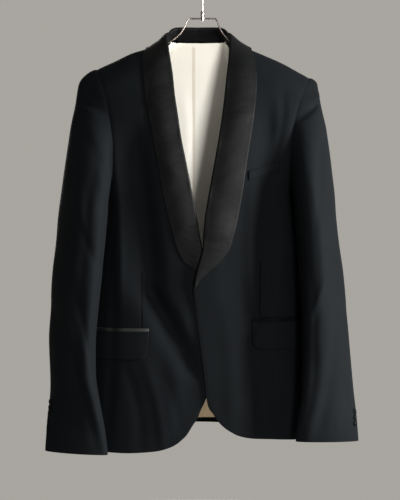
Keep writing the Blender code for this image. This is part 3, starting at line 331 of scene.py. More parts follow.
FLAP_BELLY = 0.9  # how far a flap rounds out
WELT_BELLY = 0.5  # and the welt, whose lower edge lies nearer by as much
BUTTON_DOME = 0.42  # share of a ball's depth that a button's front has
BUTTON_BACK = 0.3  # and share of the front's depth that its back has
BUTTON_MIDDLE = 0.24  # height of its widest ring over the gap, as a share of its depth
ARM_GAP = 0.5  # between the hanger's arms and the shoulder cloth
NECK_EASE = 8.0  # width over which the arms sink to it
EDGE_GAP = 0.1  # how far a panel's edge lies from its seam
TURN_IN = 1.4  # how much deeper the cloth is where it turns in at a seam
ARMHOLE_TURN_IN = 5.0  # and where it turns in at an armhole
SIGN = {"left": -1, "right": 1}

COLLAR_LAP = 0.5  # gap between the collar and the wool that it lies on
COLLAR_FOLD = 1.2  # gap between the folded edge and the wool inside it
FOLD_SLACK = 1.7  # how much gentler a fold is on its left than on its right
JET_ROLL = {"left": 0.9, "right": 0.3}  # how far the jets round out
JET_SHINE = {"left": 0.4, "right": 0.01}  # painted highlight: the left jet's satin is given far more shine than the right one's, so that it catches the light
SATIN_EDGE = 0.4  # share of its thickness that the satin has at its outer edge
COLLAR_PUFF = 0.75  # share of the table's lift that the satin keeps
LINING_TOP = -138.2  # how high the lining's neck edge reaches, less its gap
LINING_SHORTER = 3.0  # how much more of the wool hem shows below the lining
NECK_REACH = 50.0  # how far from the centre the hanger goes under the shoulder cloth
DITCH = namedtuple("Ditch", "width depth")(3.2, 0.55)  # the cloth sinks a little beside its seams

Wave = namedtuple("Wave", "top_x top_z foot_x foot_z bend width depth")
WAVES = {  # more soft troughs, and ridges where the depth is negative, each on its own bent line
    "front": by_side(
        Wave,
        left=(
            (-21, -604, -9, -700, 3, 8, -1.6), (-160, -380, -152, -620, 5, 10, -2.4),
            (-104, -742, -72, -885, 6, 11, -2.0), (-78, -735, -40, -860, 4, 12, 1.3),
            (-140, -745, -112, -890, 8, 12, 1.7), (-164, -600, -172, -850, 4, 10, 2.4),
            (-84, -190, -100, -330, -4, 9, 1.8),
        ),
        right=(
            (112, -615, 82, -705, 3, 11, 4.5), (90, -420, 88, -600, -4, 9, -1.8),
            (74, -600, 84, -760, 4, 11, 3.0), (84, -740, 88, -870, 3, 13, -2.6),
            (158, -740, 164, -880, 4, 11, -2.2), (40, -640, 52, -850, 6, 18, -2.0),
            (148, -250, 134, -360, 5, 9, 2.4), (164, -560, 176, -850, 4, 10, 2.2),
        ),
    ),
    "back": by_side(
        Wave,
        left=(
            (-36, -230, -30, -420, 5, 14, 2.0), (-94, -250, -70, -470, -8, 12, -2.2),
            (-140, -330, -126, -600, 6, 11, 2.6), (-110, -560, -128, -880, 8, 14, -2.8),
            (-48, -560, -56, -860, 5, 15, 2.6), (-160, -600, -176, -870, 4, 10, -2.0),
        ),
        right=(
            (18, -250, 12, -450, 5, 15, 1.8), (70, -240, 52, -480, 7, 13, -2.2),
            (120, -340, 132, -640, -6, 11, 2.8), (90, -600, 96, -880, -7, 15, -2.6),
            (28, -590, 40, -860, 5, 14, 2.4), (152, -620, 162, -870, 4, 10, -2.0),
        ),
    ),
}

SLEEVE_WAVES = by_side(  # the same round the sleeves: turns, heights, and a width in degrees
    Crease,
    left=(
        (30, -246, 60, -284, 6, 7.0), (36, -252, 66, -291, 5, -2.5), (32, -264, 68, -297, 6, 6.0),
        (22, -290, 80, -400, 9, 3.6), (50, -330, 92, -430, 8, -2.2), (20, -330, 58, -500, 10, -1.8),
        (66, -420, 58, -640, 12, 2.6), (36, -470, 92, -560, 11, 1.8), (92, -520, 82, -760, 14, -2.2),
        (8, -600, 40, -690, 9, -1.6), (62, -640, 96, -740, 9, 1.8), (74, -700, 66, -890, 12, -2.2),
        (44, -720, 52, -880, 12, 2.2), (300, -330, 320, -560, 12, 2.2),
        (262, -400, 250, -640, 14, -2.0), (230, -560, 285, -640, 10, 2.2),
        (280, -660, 300, -860, 12, -1.8), (150, -520, 170, -720, 16, 2.2),
    ),
    right=(
        (26, -262, 62, -299, 6, 8.0), (18, -244, 52, -284, 9, -3.0), (172, -470, 176, -590, 24, -3.5),
        (26, -330, 66, -470, 11, 2.8), (70, -420, 58, -640, 12, -2.0), (6, -480, 44, -590, 10, 1.8),
        (40, -560, 84, -640, 9, -1.6), (88, -600, 70, -800, 12, 2.2), (22, -650, 30, -850, 12, 1.8),
        (54, -720, 44, -870, 12, -2.0), (312, -320, 300, -540, 12, 2.0),
        (270, -420, 282, -640, 14, -2.0), (240, -580, 290, -660, 10, 2.2),
        (300, -680, 286, -860, 12, -1.8), (160, -540, 176, -740, 16, 2.2),
    ),
)

Ripple = namedtuple("Ripple", "row share slant width reach height")
RIPPLES = by_side(  # soft waves across the satin; rows are the collar table's, shares run from fold to edge
    Ripple,
    left=(
        (5.6, 0.5, -0.5, 0.22, 0.5, 1.1), (6.9, 0.4, -0.6, 0.30, 0.45, -1.3),
        (7.8, 0.6, 0.5, 0.25, 0.4, 1.1), (9.0, 0.4, -0.4, 0.35, 0.5, -1.4),
        (10.3, 0.6, 0.4, 0.25, 0.4, 1.0), (11.4, 0.5, -0.5, 0.30, 0.5, -1.1),
    ),
    right=(
        (5.4, 0.5, 0.5, 0.25, 0.5, 1.1), (6.5, 0.4, -0.5, 0.30, 0.45, -1.3),
        (7.4, 0.6, 0.6, 0.22, 0.4, 1.3), (8.6, 0.5, -0.4, 0.35, 0.5, -1.3),
        (9.9, 0.6, 0.4, 0.28, 0.4, 1.1), (11.2, 0.4, -0.5, 0.30, 0.5, -1.1),
    ),
)

DARTS = {  # x and z of each dart's ends; painted shade darkens the wool between them
    "left": (((-111, -572), (-111, -672)),),
    "right": (((106, -556), (105, -652)),),
}

# x and z of each cuff vent's ends; painted shade darkens the wool between them
CUFF_VENTS = {"left": (((-279, -838), (-282, -874)),), "right": (((284, -866), (285, -886)),)}

# ---------------------------------------------------------------- finishes, in metres
TWILL_PITCH = 0.0021  # distances between threads
TWILL_SLOPE = 1.7  # steps along the cloth for one across it
WOOL_YARN = (0.0009, 0.0011)
SATIN_YARN = 0.0007
LINING_YARN = (0.0008, 0.0012)
# width of the painted shade along the dart and vent seams
SEAM_SHADE_WIDTH = 0.0028
WOOL_DEEP = (0.0016, 0.0022, 0.0023)
WOOL_LIGHT = (0.0040, 0.0047, 0.0058)
# painted shade along the dart and vent seams
WOOL_SEAM_SHADE = (0.0004, 0.0005, 0.0006)
SATIN_DEEP = (0.0009, 0.0013, 0.0012)
SATIN_LIGHT = (0.0028, 0.0031, 0.0030)
IVORY_LIGHT = (0.93, 0.91, 0.84)
IVORY_DEEP = (0.87, 0.83, 0.73)
# painted shade along the pleat
PLEAT_SHADE_TAN = (0.52, 0.42, 0.28)
HEM_SHADE_TAN = (0.62, 0.47, 0.29)  # painted shade: the lining turns tan by the hem, where it lies in shadow
HEM_SHADE_FADE = (-0.77, -0.83)  # heights between which that painted shade comes in
PLEAT_SHADE_LINE = ((-0.016, -0.15), (-0.016, -0.86))  # x and z of the ends of the painted shade line along the pleat
PLEAT_SHADE_WIDTH = 0.0035
CHROME_DARK = (0.10, 0.085, 0.075)
CHROME_LIGHT = (0.26, 0.23, 0.21)

# ---------------------------------------------------------------- studio, in metres
FLOOR_Z = -1.25
FLOOR_RADIUS = 1.5
FLOOR_DARK = (0.24, 0.235, 0.225)
FLOOR_LIGHT = (0.27, 0.265, 0.255)
SENSOR_WIDTH = 36.0
PHOTO_WIDTH = 400
PIXEL = 0.00187  # size of a photo pixel at the plane through the shoulders
CAMERA_DISTANCE = 2.8
CAMERA_X = -0.0045
CAMERA_Z = -0.5325
LAMPS = (  # name, place, power, size, colour
    ("key", (2.9, -0.95, -0.05), 560, (0.9, 1.5), (1.0, 0.98, 0.97)),
    ("front", (0.85, -3.3, -0.05), 105, (0.6, 0.6), (1.0, 0.99, 0.97)),
    ("behind", (-0.6, 2.8, 0.4), 60, (1.6, 1.6), (1.0, 1.0, 1.0)),
)
LIGHT_AIM = (0, 0, -0.5)
WORLD = ((0.86, 0.82, 0.76, 1), 0.46)  # colour and strength


# ================================================================ reading the tables
def read(table, key, column, at):
    """A table's column at values of its key, on a smooth curve through the rows."""
    rows = sorted(table, key=lambda row: getattr(row, key))
    keys = np.array([getattr(row, key) for row in rows], float)
    values = np.array([getattr(row, column) for row in rows], float)
    gaps = np.diff(keys)
    rises = np.diff(values) / gaps
    product = rises[:-1] * rises[1:]
    total = np.where(product > 0, rises[:-1] + rises[1:], 1)
    middle = np.where(product > 0, 2 * product / total, 0)
    slopes = np.concatenate((rises[:1], middle, rises[-1:]))
    at = np.clip(at, keys[0], keys[-1])
    i = np.clip(np.searchsorted(keys, at, side="right") - 1, 0, len(keys) - 2)
    s = (at - keys[i]) / gaps[i]
    level = (1 + 2 * s) * (1 - s) ** 2 * values[i] + s * s * (3 - 2 * s) * values[i + 1]
    return level + gaps[i] * (s * (1 - s) ** 2 * slopes[i] - s * s * (1 - s) * slopes[i + 1])


def smooth(share):
    """0 to 1 with level ends."""
    share = np.clip(share, 0.0, 1.0)
    return share * share * (3 - 2 * share)


def mix(a, b, share):
    return a + (b - a) * share


def finer(points, steps):
    """Points on a smooth curve through some points, with more steps between each two."""
    points = np.asarray(points, float)
    last = len(points) - 1
    found = []
    for i in range(last):
        a, b, c, d = (points[min(max(k, 0), last)] for k in (i - 1, i, i + 1, i + 2))
        for s in np.arange(steps) / steps:
            bend = (2 * a - 5 * b + 4 * c - d) * s * s + (3 * b - a - 3 * c + d) * s ** 3
            found.append(0.5 * (2 * b + (c - a) * s + bend))
    found.append(points[last])
    return np.array(found)


def along(points, shares):
    """Points at the given shares of the length of a smooth curve through some points."""
    fine = finer(points, MEASURE_STEPS)
    walked = np.concatenate(([0], np.cumsum(np.linalg.norm(np.diff(fine, axis=0), axis=1))))
    at = np.asarray(shares) * walked[-1]
    return np.stack([np.interp(at, walked, fine[:, k]) for k in range(fine.shape[1])], -1)


def unit(vectors):
    return vectors / np.maximum(np.linalg.norm(vectors, axis=-1, keepdims=True), 1e-9)


def stack(x, y, z):
    return np.stack(np.broadcast_arrays(np.asarray(x, float), y, z), -1)


def shares_between(shares, steps):
    """The shares with more steps between each two."""
    index = np.arange((len(shares) - 1) * steps + 1) / steps
    return np.interp(index, np.arange(len(shares)), shares)


# ================================================================ the body's skin
def shoulder_z(x):
    reach = np.abs(x - CENTRE_X)
    left = read(SHOULDERS, "reach", "left", reach)
    return np.where(x < CENTRE_X, left, read(SHOULDERS, "reach", "right", reach))


def half_width(side, z):
    return read(GIRTHS, "z", side, z)


def down_fold(fold, z, ends):
    """How far down a fold points lie, 0 at its top and 1 at its foot, and how much of it is left there."""
    share = (fold.top_z - z) / (fold.top_z - fold.foot_z)
    past, over = ends
    return share, smooth(np.minimum(share + past, 1 + past - share) / over)


def fold_depth(folds, side, x, z, slack=1.0):
    """How far the folds move the skin inwards at points of a front or a back."""
    depth = 0.0
    for fold in folds[side]:
        share, fade = down_fold(fold, z, FOLD_ENDS)
        across = (x - mix(fold.top_x, fold.foot_x, share)) / fold.width
        across = np.where((across < 0) & (fold.depth > 0), across / slack, across)
        depth = depth + fold.depth * fade * np.exp(-across ** 2)
    return depth


def wave_depth(face, side, x, z):
    """How far the cloth's own waves move it inwards."""
    depth = 0.0
    for wave in WAVES[face][side]:
        share, fade = down_fold(wave, z, WAVE_ENDS)
        middle = mix(wave.top_x, wave.foot_x, share) + wave.bend * np.sin(np.pi * np.clip(share, 0, 1))
        across = (x - middle) / wave.width
        depth = depth + wave.depth * fade * np.exp(-across ** 2) * (1 - 0.3 * across ** 2)
    return depth


def lift(side, x, z):
    """How far the right front stands out over the left one."""
    if side == "left":
        return 0.0
    low = mix(OVERLAP_LIFT, OVERLAP_LIFT_LOW, smooth((-610 - z) / 60))
    return low * (1 - smooth((x - 18) / 70)) * smooth((-425 - z) / 70)


def skin(front, side, x, z, bridging=False):
    """Points of the body's outer surface, on its front or its back. A stiff piece may bridge its troughs."""
    x, z, front = np.broadcast_arrays(x, z, front)
    across = np.minimum(np.abs(x - CENTRE_X) / half_width(side, z), 1.0)
    drop = shoulder_z(x) - z
    depths = []
    for column, roll in (("front", FRONT_ROLL), ("back", BACK_ROLL)):
        share = 1 - np.clip(drop / roll, 0, 1)
        level = read(GIRTHS, "z", column, z) * (1 - across ** ROUNDNESS) ** (1 / ROUNDNESS)
        depths.append(level * np.sqrt(np.maximum(1 - share ** 2, 0)))
    folds = fold_depth(FRONT_FOLDS, side, x, z, FOLD_SLACK) + wave_depth("front", side, x, z)
    if bridging:
        folds = np.minimum(folds, 0)
    ahead = smooth(depths[0] / 40) * folds - depths[0] - lift(side, x, z)
    folds = fold_depth(BACK_FOLDS, side, x, z) + wave_depth("back", side, x, z)
    behind = depths[1] - smooth(depths[1] / 40) * folds
    return stack(x, np.where(front, ahead, behind), z)


def skin_way(front, side, x, z):
    """The outward direction at those points."""
    x, z, front = np.broadcast_arrays(np.asarray(x, float), z, front)
    top = np.minimum(z + PROBE, shoulder_z(x) - 0.1)
    across = skin(front, side, x + PROBE, z) - skin(front, side, x - PROBE, z)
    upwards = skin(front, side, x, top) - skin(front, side, x, z - PROBE)
    way = unit(np.cross(across, upwards)) * np.where(front, 1, -1)[..., None]
    slope = (shoulder_z(x + 1) - shoulder_z(x - 1)) / 2
    on_ridge = (shoulder_z(x) - z < ON_RIDGE)[..., None]
    at_side = (np.abs(x - CENTRE_X) > AT_SIDE * half_width(side, z))[..., None]
    way = np.where(at_side, stack(np.sign(x - CENTRE_X), 0, 0), way)
    return np.where(on_ridge, unit(stack(-slope, 0, 1)), way)


def ring_x(side, angle, z):
    """x round the body: 90 degrees is the centre front, 0 the side and -90 the centre back."""
    reach = half_width(side, z) * np.cos(np.radians(angle)) ** (2 / ROUNDNESS)
    return CENTRE_X + SIGN[side] * reach


def ring_angle(side, x, z):
    """The angle at which a point of the front lies round the body."""
    share = np.abs(x - CENTRE_X) / half_width(side, z)
    return np.degrees(np.arccos(np.clip(share, 0, 1) ** (ROUNDNESS / 2)))


# ================================================================ armholes and seams
def armhole(side, turn):
    """x and z of the armhole at turns round it."""
    turn = np.asarray(turn, float)
    z = read(ARMHOLES, "turn", side + "_z", turn)
    reach = read(ARMHOLES, "turn", side, turn)
    tip = CENTRE_X + SIGN[side] * reach
    z = np.where((turn == 0) | (turn == 360), shoulder_z(tip), np.minimum(z, shoulder_z(tip)))
    near = np.exp(-((turn - 180) / 12) ** 2)
    reach = mix(reach, np.minimum(half_width(side, z), reach + 2), near)
    return CENTRE_X + SIGN[side] * reach, z


def seam_points(side, turn):
    """x and z down a side seam, from the hem up to the armhole."""
    x, top = armhole(side, turn)
    share = np.abs(x - CENTRE_X) / half_width(side, top)
    foot = SIDE_HEM[side][0 if turn == FRONT_SEAM_TURN else 1]
    z = mix(foot, top, np.array(SEAM_SHARES))
    return np.stack([CENTRE_X + SIGN[side] * share * half_width(side, z), z], -1)


def armhole_points(side, turns):
    return np.stack(armhole(side, turns), -1)


def patch(bottom, top, inner, outer):
    """x and z inside four edges: rows from the bottom up, columns from the inner to the outer edge."""
    u = np.linspace(0, 1, len(bottom))[None, :, None]
    v = np.linspace(0, 1, len(inner))[:, None, None]
    edges = mix(bottom[None], top[None], v) + mix(inner[:, None], outer[:, None], u)
    corners = mix(mix(bottom[0], bottom[-1], u), mix(top[0], top[-1], u), v)
    return edges - corners


def collar_place(row, across):
    """x and z at distances from the collar's fold; by the shoulder they follow the shoulder line's bow."""
    share = across / np.hypot(row.fold_x - row.edge_x, row.fold_z - row.edge_z)
    x = mix(row.fold_x, row.edge_x, share)
    z = mix(row.fold_z, row.edge_z, share)
    bow = shoulder_z(x) - mix(shoulder_z(row.fold_x), shoulder_z(row.edge_x), share)
    drop = shoulder_z(row.fold_x) - row.fold_z
    near = 1 - smooth((drop - SHOULDER_BOW[0]) / (SHOULDER_BOW[1] - SHOULDER_BOW[0]))
    return x, z + bow * near


def fold_edge(rows):
    return np.array([collar_place(row, TUCK) for row in rows], float)


def ridge(side):
    neck = collar_place(COLLARS[side][RIDGE_ROW], TUCK)[0]
    x = mix(neck, armhole(side, 0)[0], np.array(RIDGE_SHARES))
    return np.stack([x, shoulder_z(x)], -1)


def centre_line(foot, top, outer):
    rise = (outer[:, 1] - outer[0, 1]) / (outer[-1, 1] - outer[0, 1])
    return np.stack([np.full(len(outer), CENTRE_X), mix(foot, top, rise)], -1)


def back_hem(side, columns):
    seam = seam_points(side, BACK_SEAM_TURN)[0]
    share = np.linspace(0, 1, columns)
    return np.stack([mix(CENTRE_X, seam[0], share), mix(BACK_HEM, seam[1], smooth(share))], -1)


def front_edges(side):
    edge, hem = (LEFT_EDGE, LEFT_HEM) if side == "left" else (RIGHT_EDGE, RIGHT_HEM)
    collar = COLLARS[side]
    seam = seam_points(side, FRONT_SEAM_TURN)
    bottom = along(np.concatenate((hem, seam[:1])), HEM_SHARES)
    tips = fold_edge([collar[i] for i in TIP_ROWS])
    lapel = fold_edge(collar[TIP_ROWS[-1] + 1:RIDGE_ROW + 1])
    inner = np.concatenate((along(edge, EDGE_SHARES), tips, lapel))
    top = ridge(side)
    inner[-1] = top[0]
    turns = [turn for turn in reversed(ARM_TURNS) if turn < FRONT_SEAM_TURN]
    return bottom, top, inner, np.concatenate((seam, armhole_points(side, turns)))


def back_edges(side):
    top = np.concatenate((fold_edge(reversed(COLLARS[side][RIDGE_ROW + 1:])), ridge(side)))
    turns = [turn for turn in ARM_TURNS if turn > BACK_SEAM_TURN]
    outer = np.concatenate((seam_points(side, BACK_SEAM_TURN), armhole_points(side, turns)))
    bottom = back_hem(side, len(top))
    return bottom, top, centre_line(bottom[0][1], top[0][1], outer), outer


def lining_edges(side):
    neck = [(row.fold_x, max(row.fold_z - row.inside, LINING_TOP) - LINING_NECK_GAP)
            for row in reversed(COLLARS[side][RIDGE_ROW + 1:])]
    top = np.concatenate((neck, ridge(side)[1:] - (0, LINING_SHOULDER_DROP)))
    turns = [turn for turn in ARM_TURNS if BACK_SEAM_TURN < turn < 350]
    outer = np.concatenate((seam_points(side, BACK_SEAM_TURN), armhole_points(side, turns)))
    outer[0, 1] += LINING_HEM_RISE + LINING_SHORTER
    outer[-1] = top[-1]
    bottom = back_hem(side, len(top)) + (0, LINING_HEM_RISE + LINING_SHORTER)
    return bottom, top, centre_line(bottom[0][1], top[0][1], outer), outer


def fine_patch(edges, rows, columns):
    bottom, top, inner, outer = edges
    return patch(finer(bottom, columns), finer(top, columns), finer(inner, rows), finer(outer, rows))


def on_shoulder(plan, first):
    """Lays a plan's top edge exactly on the shoulder line, from a column outwards."""
    plan[-1, first:, 1] = shoulder_z(plan[-1, first:, 0])
    return plan[..., 0], plan[..., 1]


# ================================================================ cloth walls
def inset(grid, gap):
    """Moves a grid's four edges inwards along its lines."""
    moved = grid.copy()
    moved[0] += unit(grid[1] - grid[0]) * gap
    moved[-1] += unit(grid[-2] - grid[-1]) * gap
    moved[:, 0] += unit(grid[:, 1] - grid[:, 0]) * gap
    moved[:, -1] += unit(grid[:, -2] - grid[:, -1]) * gap
    return moved


def rim_of(rows, columns):
    """The border's places in order, and the places just inside them."""
    border = [(0, j) for j in range(columns)] + [(i, columns - 1) for i in range(1, rows)]
    border += [(rows - 1, j) for j in range(columns - 2, -1, -1)] + [(i, 0) for i in range(rows - 2, 0, -1)]
    inside = [(min(max(i, 1), rows - 2), min(max(j, 1), columns - 2)) for i, j in border]
    return np.array(border), np.array(inside)


def ditch(grid):
    """How far the cloth sinks at points near a grid's edges."""
    walks = []
    for axis in (0, 1):
        steps = np.linalg.norm(np.diff(grid, axis=axis), axis=-1)
        start = np.zeros_like(np.take(grid[..., 0], [0], axis))
        walked = np.concatenate((start, np.cumsum(steps, axis)), axis)
        walks += [walked, np.take(walked, [-1], axis) - walked]
    near = sum(np.exp(-(walk / DITCH.width) ** 2) for walk in walks)
    return DITCH.depth * np.minimum(near, 1)


def cloth(name, outer, ways, thickness, material, nodes=(),
          turned_in=0.0, armhole_at=(), on=(), small=False, flush=False):
    """A wall of cloth under a grid of outer points, with a rounded rim and its own cloth map."""
    rows, columns = outer.shape[:2]
    border, inside = rim_of(rows, columns)
    if turned_in:
        outer = outer - ways * ditch(outer)[..., None]
    depth = np.full((rows, columns, 1), thickness)
    depth[border[:, 0], border[:, 1]] += turned_in
    if armhole_at:
        depth[armhole_at] += ARMHOLE_TURN_IN
    inner = outer - ways * depth
    edge = outer[border[:, 0], border[:, 1]]
    lower = inner[border[:, 0], border[:, 1]]
    out = unit(edge - outer[inside[:, 0], inside[:, 1]])
    if flush:
        out[border[:, 0] == rows - 1] = 0
    rims = [mix(edge, lower, s) + out * thickness * RIM_BULGE for s in RIM_SHARES]
    points = np.concatenate([outer.reshape(-1, 3), inner.reshape(-1, 3)] + rims)
    back = rows * columns
    place = np.arange(back).reshape(rows, columns)
    quads = np.stack([place[:-1, :-1], place[:-1, 1:], place[1:, 1:], place[1:, :-1]], -1).reshape(-1, 4)
    ring = place[border[:, 0], border[:, 1]]
    first = 2 * back + np.arange(len(ring))
    loops = [ring, first, first + len(ring), ring + back]
    faces = [quads, (quads + back)[:, ::-1]]
    for a, b in zip(loops, loops[1:]):
        faces.append(np.stack([np.roll(a, -1), a, b, np.roll(b, -1)], -1))
    lengths = [np.linalg.norm(np.diff(outer, axis=axis), axis=-1) for axis in (1, 0)]
    u = np.concatenate((np.zeros((rows, 1)), np.cumsum(lengths[0], 1)), 1)
    v = np.concatenate((np.zeros((1, columns)), np.cumsum(lengths[1], 0)), 0)
    u = u - u[:, columns // 2:columns // 2 + 1]
    spread = np.stack([u, v], -1)
    on_rim = spread[border[:, 0], border[:, 1]]
    spread = spread.reshape(-1, 2)
    flat = np.concatenate([spread, spread, on_rim, on_rim])
    piece = sewn(name, points, np.concatenate(faces), material, nodes, flat)
    if not small:
        declare(outer - ways * thickness / 2, on)
    return piece


def declare(grid, on):
    """Works out cross products of a sheet's grid diagonals, which nothing keeps; it states no size."""
    diagonals = np.cross(grid[1:, 1:] - grid[:-1, :-1], grid[1:, :-1] - grid[:-1, 1:])
    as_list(on)


def add(name, data):
    """A new object in the scene."""
    piece = bpy.data.objects.new(name, data)
    bpy.context.collection.objects.link(piece)
    return piece


def select_only(piece):
    bpy.ops.object.select_all(action="DESELECT")
    bpy.context.view_layer.objects.active = piece
    piece.select_set(True)


def stand_for(piece, name, nodes):
    """Sets a piece on the object's one body and hides its nodes."""
    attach(piece, "root")
    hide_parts(*nodes)
    return piece


def sewn(name, points, faces, material, nodes, flat):
    """A smooth piece of cloth with its cloth map."""
    mesh = bpy.data.meshes.new(name)
    mesh.from_pydata((points * MM).tolist(), [], faces.tolist())
    corners = np.array([loop.vertex_index for loop in mesh.loops])
    mesh.uv_layers.new(name="cloth").data.foreach_set("uv", (flat[corners] * MM).ravel())
    piece = add(name, mesh)
    select_only(piece)
    bpy.ops.object.mode_set(mode="EDIT")
    bpy.ops.mesh.select_all(action="SELECT")
    bpy.ops.mesh.normals_make_consistent(inside=False)
    bpy.ops.object.mode_set(mode="OBJECT")
    bpy.ops.object.shade_smooth_by_angle(angle=math.radians(60))
    mesh.materials.append(material)
    return stand_for(piece, name, nodes)


# ================================================================ the body's panels
# where the outer edge of a front or a back is the armhole's
ARMHOLE_COLUMN = (slice((len(SEAM_SHARES) - 1) * FRONT_STEPS.down + 1, -1), -1)


def make_panel(name, front, side, plan, wool, armhole_at=ARMHOLE_COLUMN, on=()):
    """A wool panel of the body over its plan, the x and z of its points."""
    ways = skin_way(front, side, *plan)
    points = inset(skin(front, side, *plan), EDGE_GAP)
    return cloth("wool_" + name, points, ways, WOOL, wool, [name], TURN_IN, armhole_at, on)


def make_front(side, wool, on):
    plan = on_shoulder(fine_patch(front_edges(side), *FRONT_STEPS), 0)
    return make_panel("front_" + side, True, side, plan, wool, on=on)


def make_back(side, wool):
    neck = BACK_STEPS.across * (len(COLLARS[side]) - RIDGE_ROW - 1)
    plan = on_shoulder(fine_patch(back_edges(side), *BACK_STEPS), neck)
    return make_panel("back_" + side, False, side, plan, wool)


def make_side(side, wool):
    turns = np.array([turn for turn in ARM_TURNS if FRONT_SEAM_TURN <= turn <= BACK_SEAM_TURN])
    turns = shares_between(turns, SIDE_STEPS.across)
    share = np.linspace(0, 1, len(turns))
    ends = []
    for turn in (FRONT_SEAM_TURN, BACK_SEAM_TURN):
        x, z = armhole(side, turn)
        ends.append(ring_angle(side, x, z))
    foot = mix(SIDE_HEM[side][0], SIDE_HEM[side][1], smooth(share))
    x, top = armhole(side, turns)
    top_angle = ring_angle(side, x, top) * np.where(turns < 180, 1, -1)
    low_angle = mix(ends[0], -ends[1], share)
    part = shares_between(SEAM_SHARES, SIDE_STEPS.down)[:, None]
    angle = mix(low_angle, top_angle, smooth((part - 0.8) / 0.2))
    z = mix(foot, top, part)
    return make_panel("side_" + side, angle > 0, side, (ring_x(side, angle, z), z), wool, (-1,))


# ================================================================ shawl collar
def collar_rows(side, steps):
    """The collar's rows with more between them, as one row of columns, and where they lie in the table."""
    table = np.array(COLLARS[side], float)
    fine = finer(table, steps)
    at = np.arange(len(fine)) / steps
    columns = [fine[:, k:k + 1] for k in range(fine.shape[1])]
    return Collar(*columns), at[:, None]


def satin_waves(side, at, share):
    """Soft ripples across the satin, uneven in length and height."""
    height = 0.0
    for ripple in RIPPLES[side]:
        bend = ripple.row + ripple.slant * (share - 0.5)
        fade = np.exp(-((share - ripple.share) / ripple.reach) ** 2)
        height = height + ripple.height * fade * np.exp(-((at - bend) / ripple.width) ** 2)
    return height


def make_collar(side, satin):
    row, at = collar_rows(side, COLLAR_STEPS)
    in_front = at <= RIDGE_ROW
    width = np.hypot(row.fold_x - row.edge_x, row.fold_z - row.edge_z)
    radius = COLLAR_FOLD + (SATIN + WOOL) / 2
    centre = SATIN / 2 + radius
    flat = np.maximum(width, centre + LEAST_FLAT)
    share = np.linspace(1, 0.04, COLLAR_COLUMNS)[None]
    across = [centre + (flat - centre) * share]
    puff = np.where(share < 1, row.lift * np.sin(np.pi * np.minimum(share, 1)) ** 1.2, 0)
    ripple = satin_waves(side, at, share) * smooth((width - 14) / 25)
    calm = 1 - 0.8 * np.exp(-((at - RIDGE_ROW) / 2.5) ** 2)
    top = mix(COLLAR_LAP, COLLAR_FOLD, smooth(1.2 - share * 1.2)) + SATIN / 2
    height = [top + COLLAR_PUFF * puff * calm + ripple * calm]
    a = np.radians(np.linspace(0, 180, FOLD_COLUMNS))[None] + 0 * at
    across.append(centre - radius * np.sin(a))
    height.append(radius * np.cos(a) - WOOL / 2)
    leg = np.linspace(0.08, 1, INSIDE_COLUMNS)[None]
    across.append(mix(centre, np.maximum(row.inside, centre + LEAST_FLAT), leg))
    height.append(-radius - WOOL / 2 + 0 * across[-1])
    across = np.concatenate(across, 1)
    height = np.concatenate(height, 1)
    ways_across = np.concatenate((0 * puff, -np.sin(a), 0 * leg + 0 * at), 1)
    ways_height = np.concatenate((1 + 0 * puff, np.cos(a), 0 * leg + 0 * at - 1), 1)

    def placed(off):
        x, z = collar_place(row, across + ways_across * off)
        lay = skin(in_front, side, x, z, True)
        return lay + skin_way(in_front, side, x, z) * (height + ways_height * off)[..., None]

    outer = placed(SATIN / 2)
    ways = unit(outer - placed(-SATIN / 2))
    ways[:, 0] *= SATIN_EDGE
    ways[:, 1] *= (1 + SATIN_EDGE) / 2
    outer[-1, :, 0] = CENTRE_X + SIGN[side] * CENTRE_GAP
    outer[0] += unit(outer[1] - outer[0]) * TIP_TRIM
    return cloth("satin_collar_" + side, outer, ways, SATIN, satin, ["shawl_collar_" + side], flush=True)


# ================================================================ sleeves
def crease_depth(side, turn, z):
    depth = 0.0
    for crease in SLEEVE_CREASES[side] + SLEEVE_WAVES[side]:
        share, fade = down_fold(crease, z, CREASE_ENDS)
        middle = mix(crease.turn, crease.foot_turn, share)
        across = (turn - middle + 180) % 360 - 180
        depth = depth + crease.depth * fade * np.exp(-((across / crease.width) ** 2))
    return depth


def tube_point(side, turn, z):
    """Points of the sleeve's tube: a turn of 0 is its outer side, 90 its front."""
    turn, z = np.broadcast_arrays(np.asarray(turn, float), z)
    x, y, long, short, way = (
        read(SLEEVES[side], "z", column, z) for column in ("x", "y", "long", "short", "turn")
    )
    way = np.radians(way)
    outwards = stack(SIGN[side] * np.cos(way), -np.sin(way), 0)
    forwards = stack(-SIGN[side] * np.sin(way), -np.cos(way), 0)
    a = np.radians(turn)
    move = -crease_depth(side, turn, z)
    reach = ((short + move) * np.cos(a))[..., None] * outwards
    return stack(x, y, z) + reach + ((long + move) * np.sin(a))[..., None] * forwards


def sleeve_centre(side, z):
    return stack(read(SLEEVES[side], "z", "x", z), read(SLEEVES[side], "z", "y", z), z)


def underarm(turn):
    """0 over the top of an armhole and 1 under the arm, where the sleeve turns back down by the body."""
    return smooth(((1 - np.cos(np.radians(turn))) / 2 - 0.6) / 0.3)


def sleeve_point(side, turn, part, cap):
    """Points of the sleeve's cap, which starts at the armhole, and of its tube down to the cuff."""
    x, top = armhole(side, turn % 360)
    front = turn % 360 < 180
    step = (UNDERARM_STEP * underarm(turn) * smooth(part / CAP_SHARES[1]))[..., None]
    seam = skin(front, side, x, top) + skin_way(front, side, x, top) * step
    low = (1 - np.cos(np.radians(turn))) / 2
    slope = part / CAP_REACH[side]
    corner = slope / (1 + slope ** CAP_CORNER) ** (1 / CAP_CORNER)
    blend = mix(corner, 1 - (1 - part) ** 2.2, smooth(low / 0.35))
    cuff = mix(CUFF_OUTER[side], CUFF_INNER[side], (1 + np.sin(np.radians(turn))) / 2)
    z = np.where(cap, mix(top, CAP_END, part), mix(CAP_END, cuff, part))
    tube = tube_point(side, turn, z)
    return np.where(cap[..., None], mix(seam, tube, blend[..., None]), tube)


